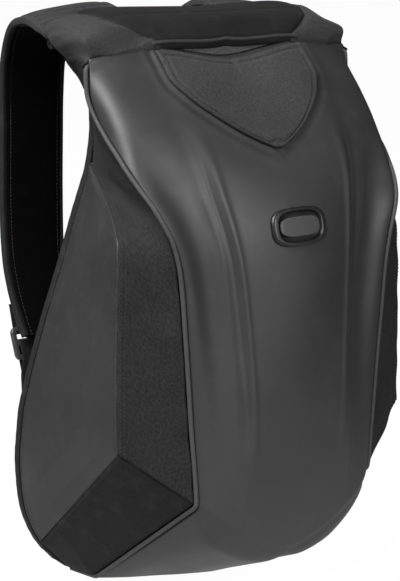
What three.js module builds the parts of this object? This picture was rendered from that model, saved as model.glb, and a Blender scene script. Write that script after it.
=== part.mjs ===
// Hard shell backpack: a moulded shell with cloth gussets and side panels, a padded back and two straps.
// Millimetres, X across, Y towards the wearer, Z up, standing with its base on Z = 0.
import * as THREE from 'three';

// Overall sizes of the body, and the plane that depths are counted from.
const HEIGHT = 508;
const HALF_WIDTH = 168;
const DEPTH = 214;
const BACK_Y = 45;

// Walls, gaps and edgings.
const SHELL_WALL = 1.8;
const CLOTH_WALL = 2;
const YOKE_WALL = 2.4;
const GAP = 0.3;
const PIPING_RADIUS = 2;
const PIPING_ROOM = PIPING_RADIUS + 4 * GAP;
const BINDING_DEPTH = 7;
const BINDING_WIDTH = 5;

// Rails run down the body: z, x and d are shares of HEIGHT, HALF_WIDTH and DEPTH.
const CENTRE_RAIL = [
  { z: 0.913, x: 0.000, d: 0.523 },
  { z: 0.886, x: 0.000, d: 0.598 },
  { z: 0.846, x: 0.000, d: 0.692 },
  { z: 0.797, x: 0.000, d: 0.785 },
  { z: 0.748, x: 0.000, d: 0.860 },
  { z: 0.699, x: 0.000, d: 0.916 },
  { z: 0.650, x: 0.000, d: 0.953 },
  { z: 0.591, x: 0.000, d: 0.979 },
  { z: 0.512, x: 0.000, d: 0.995 },
  { z: 0.433, x: 0.000, d: 1.000 },
  { z: 0.354, x: 0.000, d: 0.995 },
  { z: 0.276, x: 0.000, d: 0.984 },
  { z: 0.197, x: 0.000, d: 0.965 },
  { z: 0.138, x: 0.000, d: 0.946 },
  { z: 0.081, x: 0.000, d: 0.925 },
];
const RIDGE_RAIL = [
  { z: 0.935, x: 0.500, d: 0.528 },
  { z: 0.896, x: 0.503, d: 0.607 },
  { z: 0.846, x: 0.506, d: 0.701 },
  { z: 0.797, x: 0.497, d: 0.780 },
  { z: 0.748, x: 0.488, d: 0.841 },
  { z: 0.709, x: 0.476, d: 0.874 },
  { z: 0.669, x: 0.452, d: 0.900 },
  { z: 0.630, x: 0.429, d: 0.921 },
  { z: 0.591, x: 0.408, d: 0.935 },
  { z: 0.512, x: 0.381, d: 0.949 },
  { z: 0.433, x: 0.360, d: 0.960 },
  { z: 0.354, x: 0.345, d: 0.972 },
  { z: 0.276, x: 0.336, d: 0.974 },
  { z: 0.197, x: 0.330, d: 0.958 },
  { z: 0.118, x: 0.321, d: 0.935 },
];
const VALLEY_RAIL = [
  { z: 0.933, x: 0.560, d: 0.526 },
  { z: 0.896, x: 0.595, d: 0.593 },
  { z: 0.846, x: 0.607, d: 0.687 },
  { z: 0.797, x: 0.589, d: 0.762 },
  { z: 0.748, x: 0.568, d: 0.818 },
  { z: 0.709, x: 0.548, d: 0.850 },
  { z: 0.669, x: 0.521, d: 0.876 },
  { z: 0.630, x: 0.491, d: 0.897 },
  { z: 0.591, x: 0.467, d: 0.911 },
  { z: 0.512, x: 0.438, d: 0.925 },
  { z: 0.433, x: 0.417, d: 0.937 },
  { z: 0.354, x: 0.405, d: 0.946 },
  { z: 0.276, x: 0.396, d: 0.949 },
  { z: 0.197, x: 0.393, d: 0.944 },
  { z: 0.130, x: 0.387, d: 0.935 },
];
const SHOULDER_RAIL = [
  { z: 0.925, x: 0.762, d: 0.519 },
  { z: 0.896, x: 0.869, d: 0.551 },
  { z: 0.866, x: 0.905, d: 0.607 },
  { z: 0.839, x: 0.920, d: 0.659 },
  { z: 0.813, x: 0.923, d: 0.703 },
  { z: 0.783, x: 0.911, d: 0.748 },
  { z: 0.748, x: 0.887, d: 0.792 },
  { z: 0.709, x: 0.839, d: 0.841 },
  { z: 0.669, x: 0.774, d: 0.886 },
  { z: 0.630, x: 0.720, d: 0.904 },
  { z: 0.591, x: 0.679, d: 0.911 },
  { z: 0.512, x: 0.631, d: 0.914 },
  { z: 0.433, x: 0.601, d: 0.914 },
  { z: 0.354, x: 0.577, d: 0.914 },
  { z: 0.276, x: 0.557, d: 0.914 },
  { z: 0.197, x: 0.548, d: 0.916 },
  { z: 0.165, x: 0.542, d: 0.918 },
];
const EDGE_RAIL = [
  { z: 0.919, x: 0.899, d: 0.505 },
  { z: 0.886, x: 0.905, d: 0.507 },
  { z: 0.866, x: 0.902, d: 0.509 },
  { z: 0.846, x: 0.896, d: 0.521 },
  { z: 0.827, x: 0.890, d: 0.544 },
  { z: 0.807, x: 0.890, d: 0.584 },
  { z: 0.785, x: 0.896, d: 0.640 },
  { z: 0.754, x: 0.896, d: 0.717 },
  { z: 0.719, x: 0.875, d: 0.790 },
  { z: 0.689, x: 0.845, d: 0.846 },
  { z: 0.659, x: 0.810, d: 0.881 },
  { z: 0.630, x: 0.771, d: 0.895 },
  { z: 0.591, x: 0.735, d: 0.897 },
  { z: 0.551, x: 0.714, d: 0.895 },
  { z: 0.472, x: 0.690, d: 0.893 },
  { z: 0.394, x: 0.667, d: 0.890 },
  { z: 0.315, x: 0.646, d: 0.888 },
  { z: 0.236, x: 0.622, d: 0.888 },
  { z: 0.189, x: 0.610, d: 0.886 },
];
const SEAM_RAIL = [
  { z: 0.732, x: 0.640, d: 0.285 },
  { z: 0.720, x: 0.679, d: 0.346 },
  { z: 0.707, x: 0.726, d: 0.421 },
  { z: 0.683, x: 0.845, d: 0.579 },
  { z: 0.657, x: 0.929, d: 0.696 },
  { z: 0.634, x: 0.967, d: 0.748 },
  { z: 0.600, x: 0.982, d: 0.764 },
  { z: 0.531, x: 0.988, d: 0.766 },
  { z: 0.453, x: 0.994, d: 0.766 },
  { z: 0.374, x: 0.997, d: 0.766 },
  { z: 0.287, x: 0.994, d: 0.766 },
];
const CREASE_RAIL = [
  { z: 0.734, x: 0.628, d: 0.252 },
  { z: 0.689, x: 0.756, d: 0.430 },
  { z: 0.650, x: 0.863, d: 0.551 },
  { z: 0.612, x: 0.917, d: 0.589 },
  { z: 0.531, x: 0.946, d: 0.607 },
  { z: 0.451, x: 0.973, d: 0.612 },
  { z: 0.370, x: 0.997, d: 0.607 },
  { z: 0.329, x: 1.000, d: 0.593 },
];
const BACK_RAIL = [
  { z: 0.913, x: 0.798, d: 0.271 },
  { z: 0.882, x: 0.714, d: 0.266 },
  { z: 0.852, x: 0.655, d: 0.262 },
  { z: 0.827, x: 0.628, d: 0.252 },
  { z: 0.783, x: 0.613, d: 0.238 },
  { z: 0.734, x: 0.622, d: 0.222 },
  { z: 0.689, x: 0.655, d: 0.206 },
  { z: 0.656, x: 0.685, d: 0.196 },
  { z: 0.573, x: 0.753, d: 0.173 },
  { z: 0.472, x: 0.845, d: 0.145 },
  { z: 0.368, x: 0.920, d: 0.112 },
  { z: 0.303, x: 0.949, d: 0.089 },
  { z: 0.246, x: 0.949, d: 0.070 },
  { z: 0.181, x: 0.926, d: 0.051 },
  { z: 0.140, x: 0.899, d: 0.042 },
  { z: 0.098, x: 0.839, d: 0.028 },
  { z: 0.065, x: 0.774, d: 0.023 },
];

// Where each rail of the shell stands across it: 0 at the middle, 1 at the piped edge.
const RIDGE_U = 0.4;
const SHELL_RAILS = [
  { u: 0, rail: CENTRE_RAIL },
  { u: RIDGE_U, rail: RIDGE_RAIL },
  { u: 0.48, rail: VALLEY_RAIL },
  { u: 0.8, rail: SHOULDER_RAIL },
  { u: 1, rail: EDGE_RAIL },
];
const SHELL_ROWS = 24;
const HALF_COLUMNS = [0, 0.1, 0.2, 0.3, 0.37, 0.42, 0.48, 0.57, 0.67, 0.77, 0.86, 0.94, 1];

// The front edge of the flat base, across the shell.
const FOOT = [
  { u: 0, x: 0, d: 0.46 },
  { u: 0.4, x: 0.22, d: 0.375 },
  { u: 0.48, x: 0.262, d: 0.354 },
  { u: 0.8, x: 0.44, d: 0.275 },
  { u: 1, x: 0.554, d: 0.201 },
];
const BASE_BACK = { x: 0.548, d: 0.043 };
// How far the shell's lower lip drops below the straight line from crease to base, of HEIGHT.
const LIP_END = 0.08;
const LIP = [
  { u: 0, drop: 0.005 },
  { u: 0.2, drop: 0.022 },
  { u: 0.4, drop: 0.03 },
  { u: 0.8, drop: 0.03 },
  { u: 0.94, drop: 0.015 },
  { u: 1, drop: 0 },
];

// The yoke over the top: its front rise, its crest and its back edge, across it.
const YOKE_RISE = [
  { u: 0, z: 0.974, x: 0, d: 0.494 },
  { u: 0.4, z: 0.972, x: 0.52, d: 0.47 },
  { u: 0.8, z: 0.958, x: 0.81, d: 0.48 },
  { u: 0.93, z: 0.946, x: 0.893, d: 0.49 },
  { u: 1, z: 0.918, x: 0.868, d: 0.442 },
];
const YOKE_CREST = [
  { u: 0, z: 0.991, x: 0, d: 0.365 },
  { u: 0.4, z: 0.994, x: 0.55, d: 0.32 },
  { u: 0.8, z: 0.971, x: 0.85, d: 0.33 },
  { u: 0.93, z: 0.948, x: 0.895, d: 0.365 },
  { u: 1, z: 0.916, x: 0.832, d: 0.373 },
];
const YOKE_BACK = [
  { u: 0, z: 0.962, x: 0, d: 0.272 },
  { u: 0.2, z: 0.963, x: 0.26, d: 0.27 },
  { u: 0.3, z: 0.986, x: 0.4, d: 0.22 },
  { u: 0.4, z: 0.99, x: 0.55, d: 0.215 },
  { u: 0.8, z: 0.965, x: 0.86, d: 0.215 },
  { u: 0.93, z: 0.944, x: 0.878, d: 0.26 },
  { u: 1, z: 0.913, x: 0.799, d: 0.306 },
];
// The collar opening between shell and yoke: its height at the middle and at its two ends.
const COLLAR_RISE = 18;
const COLLAR_END_RISE = 5;
const COLLAR_FADE_U = 0.5;

// The flap over the top of the shell: half its width by how far down it is.
const FLAP_TOP_T = 0.01;
const FLAP_TIP_T = 0.178;
const FLAP_LIFT = 0.4;
const FLAP_WALL = 2.8;
const FLAP_OUTLINE = [
  { down: 0, u: 0.4 },
  { down: 0.3, u: 0.4 },
  { down: 0.55, u: 0.345 },
  { down: 0.8, u: 0.215 },
  { down: 1, u: 0.02 },
];

// The badge on the shell.
const BADGE_T = 0.33;
const BADGE_HALF_WIDTH = 31;
const BADGE_HALF_HEIGHT = 16.5;
const BADGE_PLATE_SHARE = 0.74;

// The shoulder strap: its middle line, its width and how far its outer edge drops.
const STRAP_THICKNESS = 11;
const STRAP_WIDTH = 66;
const STRAP_ROWS = [
  { x: 0.6, d: 0.2, z: 0.9705, width: 1.36, thick: 0.9, tilt: 0.12 },
  { x: 0.59, d: 0.08, z: 0.984, width: 1.3, thick: 1, tilt: 0.12 },
  { x: 0.575, d: -0.03, z: 0.975, width: 1.17, thick: 1, tilt: 0.08 },
  { x: 0.55, d: -0.13, z: 0.945, width: 1.05, thick: 1, tilt: 0.03 },
  { x: 0.535, d: -0.19, z: 0.9, width: 1, thick: 1, tilt: 0 },
  { x: 0.525, d: -0.215, z: 0.84, width: 0.99, thick: 1, tilt: 0 },
  { x: 0.525, d: -0.22, z: 0.76, width: 0.98, thick: 1, tilt: 0 },
  { x: 0.53, d: -0.22, z: 0.67, width: 0.98, thick: 1, tilt: 0 },
  { x: 0.538, d: -0.21, z: 0.6, width: 0.97, thick: 1, tilt: 0 },
  { x: 0.55, d: -0.19, z: 0.545, width: 0.94, thick: 1, tilt: 0 },
  { x: 0.57, d: -0.158, z: 0.495, width: 0.84, thick: 0.95, tilt: 0 },
  { x: 0.595, d: -0.12, z: 0.452, width: 0.68, thick: 0.85, tilt: 0 },
  { x: 0.62, d: -0.08, z: 0.415, width: 0.5, thick: 0.6, tilt: 0 },
];

// The ladder lock under each strap and the webbing through it.
const LOCK_WIDTH = 36;
const LOCK_HEIGHT = 30;
const LOCK_THICKNESS = 4;
const LOCK_BAR = 5;
const LOCK_PLACE = { x: 0.64, d: -0.135, z: 0.405 };
const LOCK_LEAN = 0.32;
const WEBBING_WIDTH = 25;
const WEBBING_THICKNESS = 1.6;


// The back panel's outline, from its top corner down.
const OUTLINE_RAIL = [
  { z: 0.957, x: 0.68, d: 0.262 },
  { z: 0.951, x: 0.745, d: 0.266 },
  { z: 0.94, x: 0.79, d: 0.27 },
  { z: 0.926, x: 0.805, d: 0.271 },
  ...BACK_RAIL,
  { z: 0.028, x: 0.655, d: 0.009 },
  { z: 0.006, x: 0.555, d: 0.005 },
  { z: 0.001, x: 0.52, d: 0.005 },
];
// The back panel: its ends, how far it swells and how its grid divides.
const PANEL_TOP = 0.943;
const PANEL_BOTTOM = 0.012;
const PANEL_BULGE = 7;
const PANEL_RIM_SHARE = 0.15;
const PANEL_SPANS = 22;
const PUFF_POWER = 4;
const PANEL_COLUMNS = [-1, -0.93, -0.8, -0.6, -0.35, 0, 0.35, 0.6, 0.8, 0.93, 1];
const BINDING_SPANS = 30;
const BINDING_SECTION = [
  { w: -0.5, h: -0.5 }, { w: 0.36, h: -0.5 }, { w: 0.5, h: -0.3 },
  { w: 0.5, h: 0.3 }, { w: 0.36, h: 0.5 }, { w: -0.5, h: 0.5 },
];

// Where the side panel's crease turns back: heights of that row at the seam and at the back.
const ELBOW = { seam: 0.315, back: 0.181 };
const CREASE_U = 0.3;
const SIDE_COLUMNS = [
  { u: 0, fold: 0 }, { u: 0.15, fold: 0.12 }, { u: 0.3, fold: 0.244 },
  { u: 0.53, fold: 0.5 }, { u: 0.77, fold: 0.75 }, { u: 1, fold: 1 },
];
// The front gusset leaves the back edge this far above the side panel's seam, of HEIGHT.
const RAIL_STEP = 0.02;
const BOTTOM_ROWS = [0, 0.08, 0.3, 0.55, 0.8, 1, 1.5, 2];
const FOLD_BEND = 0.8;

// Spans of the other grids, and where the piping, the insert and the badge sit.
const PIPING_START = 0.012;
const GUSSET_UPPER_SPANS = 5;
const GUSSET_LOWER_SPANS = 16;
const GUSSET_COLUMNS = 4;
const YOKE_SPANS = 7;
const COLLAR_SPANS = 20;
const YOKE_KNOTS = [0, 0.33, 0.66, 1];
const TOP_GUSSET_U = 0.355;

const TOP_GUSSET_SPANS = { up: 3, across: 14 };
const FLAP_SPANS = { down: 10, across: 12 };

const BADGE_STEP = 0.05;
const BADGE_TRIES = 6;
const BADGE_SQUARENESS = 0.62;
const BADGE_SIDES = 24;
const BEZEL_FLOOR = 1.6;
const BEZEL_RINGS = [
  { r: 0.78, h: BEZEL_FLOOR }, { r: 0.81, h: 3.6 }, { r: 0.93, h: 3.6 }, { r: 1, h: 2 },
];
const PLATE_RINGS = [{ r: 0.94, h: 3 }, { r: 1, h: 2.6 }];

// The straps and their hardware.
const STRAP_SPANS = 20;
const LOCK_BEVEL = 0.7;
const TAIL_LENGTH = 10;
const TAB_LENGTH = 22;
const TAB_CLOSED = 1.2;
const WEBBING_ROWS = [
  { x: 0.725, d: 0.004, z: 0.09 },
  { x: 0.724, d: 0.011, z: 0.12 },
  { x: 0.722, d: 0.017, z: 0.16 },
  { x: 0.715, d: 0, z: 0.225 },
  { x: 0.698, d: -0.045, z: 0.29 },
  { x: 0.665, d: -0.09, z: 0.35 },
];

// The line inside the body that walls face: shares of x, depth and height.
const CORE = { x: 0.25, d: 0.45, low: 0.25, high: 0.8 };
const LEAST_STRETCH = 0.5;
const NORMAL_STEP = 0.01;
const OUTLINE_STEPS = 240;

const FLAT_SECTION = [{ w: -0.5, h: -0.5 }, { w: 0.5, h: -0.5 }, { w: 0.5, h: 0.5 }, { w: -0.5, h: 0.5 }];
// A cord's ring starts in a direction that no cord here runs along.
const CORD_ACROSS = new THREE.Vector3(0.31, 0.9, 0.3);
const CORD_SIDES = 6;
const PAD_SECTION = [
  { w: -0.5, h: -0.22 }, { w: -0.43, h: -0.4 }, { w: -0.25, h: -0.5 }, { w: 0, h: -0.5 },
  { w: 0.25, h: -0.5 }, { w: 0.43, h: -0.4 }, { w: 0.5, h: -0.22 }, { w: 0.5, h: 0.22 },
  { w: 0.43, h: 0.4 }, { w: 0.25, h: 0.5 }, { w: 0, h: 0.5 }, { w: -0.25, h: 0.5 },
  { w: -0.43, h: 0.4 }, { w: -0.5, h: 0.22 },
];

// A smooth curve through the values at rising knots that never overshoots them.
function spline(knots, values) {
  const last = knots.length - 1;
  const slopes = knots.slice(1).map((knot, i) => (values[i + 1] - values[i]) / (knot - knots[i]));
  const tangents = knots.map((_, i) => {
    if (i === 0) return slopes[0];
    if (i === last) return slopes[last - 1];
    const product = slopes[i - 1] * slopes[i];
    return product <= 0 ? 0 : (2 * product) / (slopes[i - 1] + slopes[i]);
  });
  return (at) => {
    let i = 0;
    while (i < last - 1 && at > knots[i + 1]) i += 1;
    const span = knots[i + 1] - knots[i];
    const s = THREE.MathUtils.clamp((at - knots[i]) / span, 0, 1);
    const rise = s * s * (3 - 2 * s);
    const early = s * (1 - s) * (1 - s) * span * tangents[i];
    const late = s * s * (s - 1) * span * tangents[i + 1];
    return values[i] + (values[i + 1] - values[i]) * rise + early + late;
  };
}

// A point from its shares of the body's height, half width and depth.
function place({ x, d, z }) {
  return new THREE.Vector3(x * HALF_WIDTH, BACK_Y - d * DEPTH, z * HEIGHT);
}

// A rail as a function of height share, and its ends.
function makeRail(rows) {
  const rising = [...rows].reverse();
  const heights = rising.map((row) => row.z);
  const x = spline(heights, rising.map((row) => row.x));
  const d = spline(heights, rising.map((row) => row.d));
  const at = (z) => ({ x: x(z), d: d(z), z });
  return { at, top: rows[0].z, bottom: rows[rows.length - 1].z };
}

// The point of a rail at share t of the way down it.
function along(rail, t) {
  return rail.at(THREE.MathUtils.lerp(rail.top, rail.bottom, t));
}

// Values by u from a table, as a function of u.
function byU(rows, key) {
  return spline(rows.map((row) => row.u), rows.map((row) => row[key]));
}

const shellRails = SHELL_RAILS.map(({ u, rail }) => ({ u, rail: makeRail(rail) }));
const edgeRail = makeRail(EDGE_RAIL);
const backRail = makeRail(BACK_RAIL);
const creaseRail = makeRail(CREASE_RAIL);

// A point of the shell's front: u across from -1 to 1, t down from the yoke to the crease.
function shellPoint(u, t) {
  const rows = shellRails.map(({ u: share, rail }) => ({ u: share, ...along(rail, t) }));
  const mirrored = rows.slice(1, 3).reverse().map((row) => ({ ...row, u: -row.u, x: -row.x }));
  const across = [...mirrored, ...rows];
  const part = (key) => byU(across, key)(Math.abs(u));
  const point = place({ x: part('x'), d: part('d'), z: part('z') });
  point.x *= Math.sign(u);
  return point;
}

// The outward direction of the shell's front at u, t.
function shellNormal(u, t) {
  const step = NORMAL_STEP;
  const across = shellPoint(u + step, t).sub(shellPoint(u - step, t));
  const down = shellPoint(u, t + step).sub(shellPoint(u, Math.max(t - step, 0)));
  return down.cross(across).normalize();
}

// A point under the shell: s from 0 at the crease to 1 where the flat base starts and 2 at the back.
function shellBottom(u, s) {
  const part = (key) => byU(FOOT, key)(Math.abs(u));
  const foot = place({ x: part('x') * Math.sign(u), d: part('d'), z: 0 });
  if (s <= 1) {
    const point = shellPoint(u, 1).lerp(foot, s);
    point.z -= HEIGHT * byU(LIP, 'drop')(Math.abs(u)) * (1 - s) * Math.min(s / LIP_END, 1);
    return point;
  }
  const share = BASE_BACK.x / FOOT[FOOT.length - 1].x;
  const back = place({ x: part('x') * share * Math.sign(u), d: BASE_BACK.d, z: 0 });
  return foot.lerp(back, s - 1);
}

// The line that a wall's edges face: a point inside the body, level with the given one.
function corePoint(point) {
  const z = THREE.MathUtils.clamp(point.z, CORE.low * HEIGHT, CORE.high * HEIGHT);
  return new THREE.Vector3(CORE.x * point.x, BACK_Y - CORE.d * DEPTH, z);
}

// The rows of a grid cut back by the given distances at their two ends.
function trimRows(rows, start, end) {
  return rows.map((row) => {
    const lengths = [0];
    row.slice(1).forEach((point, i) => lengths.push(lengths[i] + point.distanceTo(row[i])));
    const total = lengths[lengths.length - 1];
    return lengths.map((length) => {
      const at = start + (length / total) * (total - start - end);
      let i = 0;
      while (i < lengths.length - 2 && at > lengths[i + 1]) i += 1;
      const share = (at - lengths[i]) / (lengths[i + 1] - lengths[i]);
      return row[i].clone().lerp(row[i + 1], share);
    });
  });
}

function transpose(rows) {
  return rows[0].map((_, column) => rows.map((row) => row[column]));
}

function mirror(rows) {
  return rows.map((row) => row.map((point) => new THREE.Vector3(-point.x, point.y, point.z)));
}

// The averaged directions of a grid, on the side that its rows and columns turn to.
function gridNormals(rows) {
  return rows.map((row, i) => row.map((_, j) => {
    const up = rows[Math.max(i - 1, 0)][j];
    const down = rows[Math.min(i + 1, rows.length - 1)][j];
    const left = row[Math.max(j - 1, 0)];
    const right = row[Math.min(j + 1, row.length - 1)];
    return down.clone().sub(up).cross(right.clone().sub(left)).normalize();
  }));
}

// A closed solid between two grids of the same size, the first one on the outside.
function solidBetween(outer, inner) {
  const columns = outer[0].length;
  const count = outer.length * columns;
  const positions = [...outer.flat(), ...inner.flat()].flatMap((point) => point.toArray());
  const indices = [];
  const quad = (a, b, c, d) => indices.push(a, b, c, a, c, d);
  const at = (i, j) => i * columns + j;
  for (let i = 0; i < outer.length - 1; i += 1) {
    for (let j = 0; j < columns - 1; j += 1) {
      quad(at(i, j), at(i + 1, j), at(i + 1, j + 1), at(i, j + 1));
      quad(count + at(i, j), count + at(i, j + 1), count + at(i + 1, j + 1), count + at(i + 1, j));
    }
  }
  const rim = [];
  for (let j = 0; j < columns - 1; j += 1) rim.push(at(0, j));
  for (let i = 0; i < outer.length - 1; i += 1) rim.push(at(i, columns - 1));
  for (let j = columns - 1; j > 0; j -= 1) rim.push(at(outer.length - 1, j));
  for (let i = outer.length - 1; i > 0; i -= 1) rim.push(at(i, 0));
  rim.forEach((a, k) => {
    const b = rim[(k + 1) % rim.length];
    quad(a, b, count + b, count + a);
  });
  return geometryOf(positions, indices);
}

// A geometry from plain lists, its faces turned outwards.
function geometryOf(positions, indices) {
  const geometry = new THREE.BufferGeometry();
  geometry.setAttribute('position', new THREE.Float32BufferAttribute(positions, 3));
  const volume = signedVolume(positions, indices);
  const turned = indices.map((_, i) => indices[3 * Math.floor(i / 3) + 2 - (i % 3)]);
  const outward = volume > 0 ? indices : turned;
  geometry.setIndex(outward);
  geometry.computeVertexNormals();
  return geometry;
}

function signedVolume(positions, indices) {
  const corner = (i) => new THREE.Vector3().fromArray(positions, 3 * i);
  let volume = 0;
  for (let i = 0; i < indices.length; i += 3) {
    volume += corner(indices[i]).dot(corner(indices[i + 1]).cross(corner(indices[i + 2])));
  }
  return volume;
}

// A wall of even thickness inside a grid. Its edges are cut back, and face the core line unless square.
function wall(rows, thickness, cuts) {
  const narrowed = trimRows(rows, cuts.left, cuts.right);
  const outer = transpose(trimRows(transpose(narrowed), cuts.top, cuts.bottom));
  const normals = gridNormals(outer);
  const inner = outer.map((row, i) => row.map((point, j) => {
    const inward = corePoint(point).sub(point).normalize();
    const normal = normals[i][j];
    if (normal.dot(inward) < 0) normal.negate();
    const onEdge = i === 0 || j === 0 || i === outer.length - 1 || j === row.length - 1;
    if (!onEdge || cuts.square) return point.clone().addScaledVector(normal, thickness);
    const stretch = Math.max(normal.dot(inward), LEAST_STRETCH);
    return point.clone().addScaledVector(inward, thickness / stretch);
  }));
  return solidBetween(outer, inner);
}

// Rings of equal count joined into a closed body, with flat ends or end to end.
function loft(rings, looped = false) {
  const count = rings[0].length;
  const positions = rings.flat().flatMap((point) => point.toArray());
  const indices = [];
  const spans = looped ? rings.length : rings.length - 1;
  for (let i = 0; i < spans; i += 1) {
    const next = (i + 1) % rings.length;
    for (let j = 0; j < count; j += 1) {
      const k = (j + 1) % count;
      indices.push(i * count + j, next * count + j, next * count + k);
      indices.push(i * count + j, next * count + k, i * count + k);
    }
  }
  if (!looped) {
    const end = (rings.length - 1) * count;
    for (let j = 1; j < count - 1; j += 1) {
      indices.push(0, j, j + 1);
      indices.push(end, end + j + 1, end + j);
    }
  }
  return geometryOf(positions, indices);
}

// The directions of a path: onwards, across it nearest to a given direction, and out of both.
function frames(path, across, looped = false) {
  const last = path.length - 1;
  return path.map((point, i) => {
    const before = path[looped ? (i + last) % path.length : Math.max(i - 1, 0)];
    const after = path[looped ? (i + 1) % path.length : Math.min(i + 1, last)];
    const onward = after.clone().sub(before).normalize();
    const wide = across[i].clone().addScaledVector(onward, -across[i].dot(onward)).normalize();
    return { point, onward, wide, out: onward.clone().cross(wide) };
  });
}

// A band along a path: a row of widths and thicknesses, its section given by shares of each.
function band(path, across, sizes, section, looped = false) {
  const rings = frames(path, across, looped).map(({ point, wide, out }, i) => section.map(
    ({ w, h }) => point.clone().addScaledVector(wide, w * sizes[i].width)
      .addScaledVector(out, h * sizes[i].thickness),
  ));
  return loft(rings, looped);
}

function roundSection(count) {
  return Array.from({ length: count }, (_, i) => {
    const angle = (2 * Math.PI * i) / count;
    return { w: Math.cos(angle), h: Math.sin(angle) };
  });
}

// A round cord along a path.
function cord(path, radius) {
  const across = path.map(() => CORD_ACROSS);
  const sizes = path.map(() => ({ width: radius, thickness: radius }));
  return band(path, across, sizes, roundSection(CORD_SIDES));
}

function shares(count, from = 0, to = 1) {
  return Array.from({ length: count + 1 }, (_, i) => from + ((to - from) * i) / count);
}

const columns = [...HALF_COLUMNS.slice(1).reverse().map((u) => -u), ...HALF_COLUMNS];

const outlineRail = makeRail(OUTLINE_RAIL);
const outlinePoints = shares(OUTLINE_STEPS).map((t) => place(along(outlineRail, t)));

// Half the width left at height z when the outline is moved inwards by the given distance.
function insetHalf(z, inset) {
  const near = outlinePoints.filter((point) => Math.abs(point.z - z) < inset);
  return Math.min(...near.map((point) => point.x - Math.sqrt(inset ** 2 - (point.z - z) ** 2)));
}

// Sub-parts.

function makeShell() {
  const front = shares(SHELL_ROWS).map((t) => columns.map((u) => shellPoint(u, t)));
  const under = BOTTOM_ROWS.slice(1).map((s) => columns.map((u) => shellBottom(u, s)));
  const cuts = { left: PIPING_ROOM, right: PIPING_ROOM, top: GAP / 2, bottom: GAP };
  return wall([...front, ...under], SHELL_WALL, cuts);
}

// The front gusset's rear rail: beside the back edge at first, then the seam of the side panel.
const seamStart = SEAM_RAIL[0].z;
const gussetRail = makeRail([
  ...BACK_RAIL.filter(({ z }) => z > seamStart + RAIL_STEP).map(besideBinding),
  ...SEAM_RAIL,
]);

function besideBinding(row) {
  return { ...row, d: row.d + (BINDING_DEPTH + GAP) / DEPTH };
}

function seamShare(z) {
  return (gussetRail.top - z) / (gussetRail.top - gussetRail.bottom);
}

const gussetShares = [
  ...shares(GUSSET_UPPER_SPANS, 0, seamShare(seamStart)),
  ...shares(GUSSET_LOWER_SPANS, seamShare(seamStart), seamShare(ELBOW.seam)).slice(1),
  1,
];

function makeFrontGusset() {
  const rows = gussetShares.map((t) => {
    const front = place(along(edgeRail, t));
    const rear = place(along(gussetRail, t));
    return shares(GUSSET_COLUMNS).map((u) => front.clone().lerp(rear, u));
  });
  return wall(rows, CLOTH_WALL, { left: PIPING_ROOM, right: GAP, top: 3 * GAP, bottom: GAP });
}

// The fold between side panel and bottom gusset, from the seam to the back edge.
const foldFront = place(along(gussetRail, 1));
const foldBack = place(besideBinding(along(backRail, 1)));

function makeSidePanel() {
  const upper = gussetShares.filter((t) => t >= seamShare(seamStart) && t < 1).map((t) => {
    const share = (t - seamShare(seamStart)) / (seamShare(ELBOW.seam) - seamShare(seamStart));
    const seam = place(along(gussetRail, t));
    const crease = place(along(creaseRail, share));
    const backZ = THREE.MathUtils.lerp(creaseRail.top, ELBOW.back, share);
    const back = place(besideBinding(backRail.at(backZ)));
    return SIDE_COLUMNS.map(({ u }) => (u <= CREASE_U
      ? seam.clone().lerp(crease, u / CREASE_U)
      : crease.clone().lerp(back, (u - CREASE_U) / (1 - CREASE_U))));
  });
  const lower = SIDE_COLUMNS.map(({ fold }) => foldFront.clone().lerp(foldBack, fold));
  return wall([...upper, lower], CLOTH_WALL, { left: 2 * GAP, right: 0, top: GAP, bottom: GAP });
}

function makeBottomGusset() {
  const rows = BOTTOM_ROWS.map((s) => {
    const share = s <= 1 ? FOLD_BEND * s : FOLD_BEND + (1 - FOLD_BEND) * (s - 1);
    const piped = shellBottom(1, s);
    const fold = foldFront.clone().lerp(foldBack, share);
    return shares(GUSSET_COLUMNS).map((u) => piped.clone().lerp(fold, u));
  });
  return wall(rows, CLOTH_WALL, { left: PIPING_ROOM + GAP, right: GAP, top: GAP, bottom: 0 });
}

function makePiping() {
  const front = shares(SHELL_ROWS, PIPING_START).map((t) => place(along(edgeRail, t)));
  const under = BOTTOM_ROWS.slice(1).map((s) => shellBottom(1, s));
  under.forEach((point) => point.setZ(Math.max(point.z, PIPING_RADIUS)));
  return cord([...front, ...under], PIPING_RADIUS);
}

// How far the yoke's front edge stands above the shell.
function collarRise(u) {
  const away = Math.abs(u);
  if (away <= RIDGE_U) return THREE.MathUtils.lerp(COLLAR_RISE, COLLAR_END_RISE, away / RIDGE_U);
  if (away >= COLLAR_FADE_U) return 0;
  return COLLAR_END_RISE * (COLLAR_FADE_U - away) / (COLLAR_FADE_U - RIDGE_U);
}

function collarEdge(u, drop) {
  const point = shellPoint(u, 0);
  point.z += collarRise(u) - drop;
  return point;
}

function yokePoint(u, r) {
  const row = (rows) => {
    const part = (key) => byU(rows, key)(Math.abs(u));
    return place({ x: part('x') * Math.sign(u), d: part('d'), z: part('z') });
  };
  const knots = [collarEdge(u, 0), row(YOKE_RISE), row(YOKE_CREST), row(YOKE_BACK)];
  const part = (key) => spline(YOKE_KNOTS, knots.map((point) => point[key]))(r);
  return new THREE.Vector3(part('x'), part('y'), part('z'));
}

function makeYoke() {
  const rows = shares(YOKE_SPANS).map((r) => columns.map((u) => yokePoint(u, r)));
  return wall(rows, YOKE_WALL, { left: 3 * GAP, right: 3 * GAP, top: 2 * GAP, bottom: GAP, square: true });
}

function makeCollarPiping() {
  const path = shares(COLLAR_SPANS, -RIDGE_U, RIDGE_U).map((u) => collarEdge(u, PIPING_ROOM));
  return cord(path, PIPING_RADIUS);
}

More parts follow.
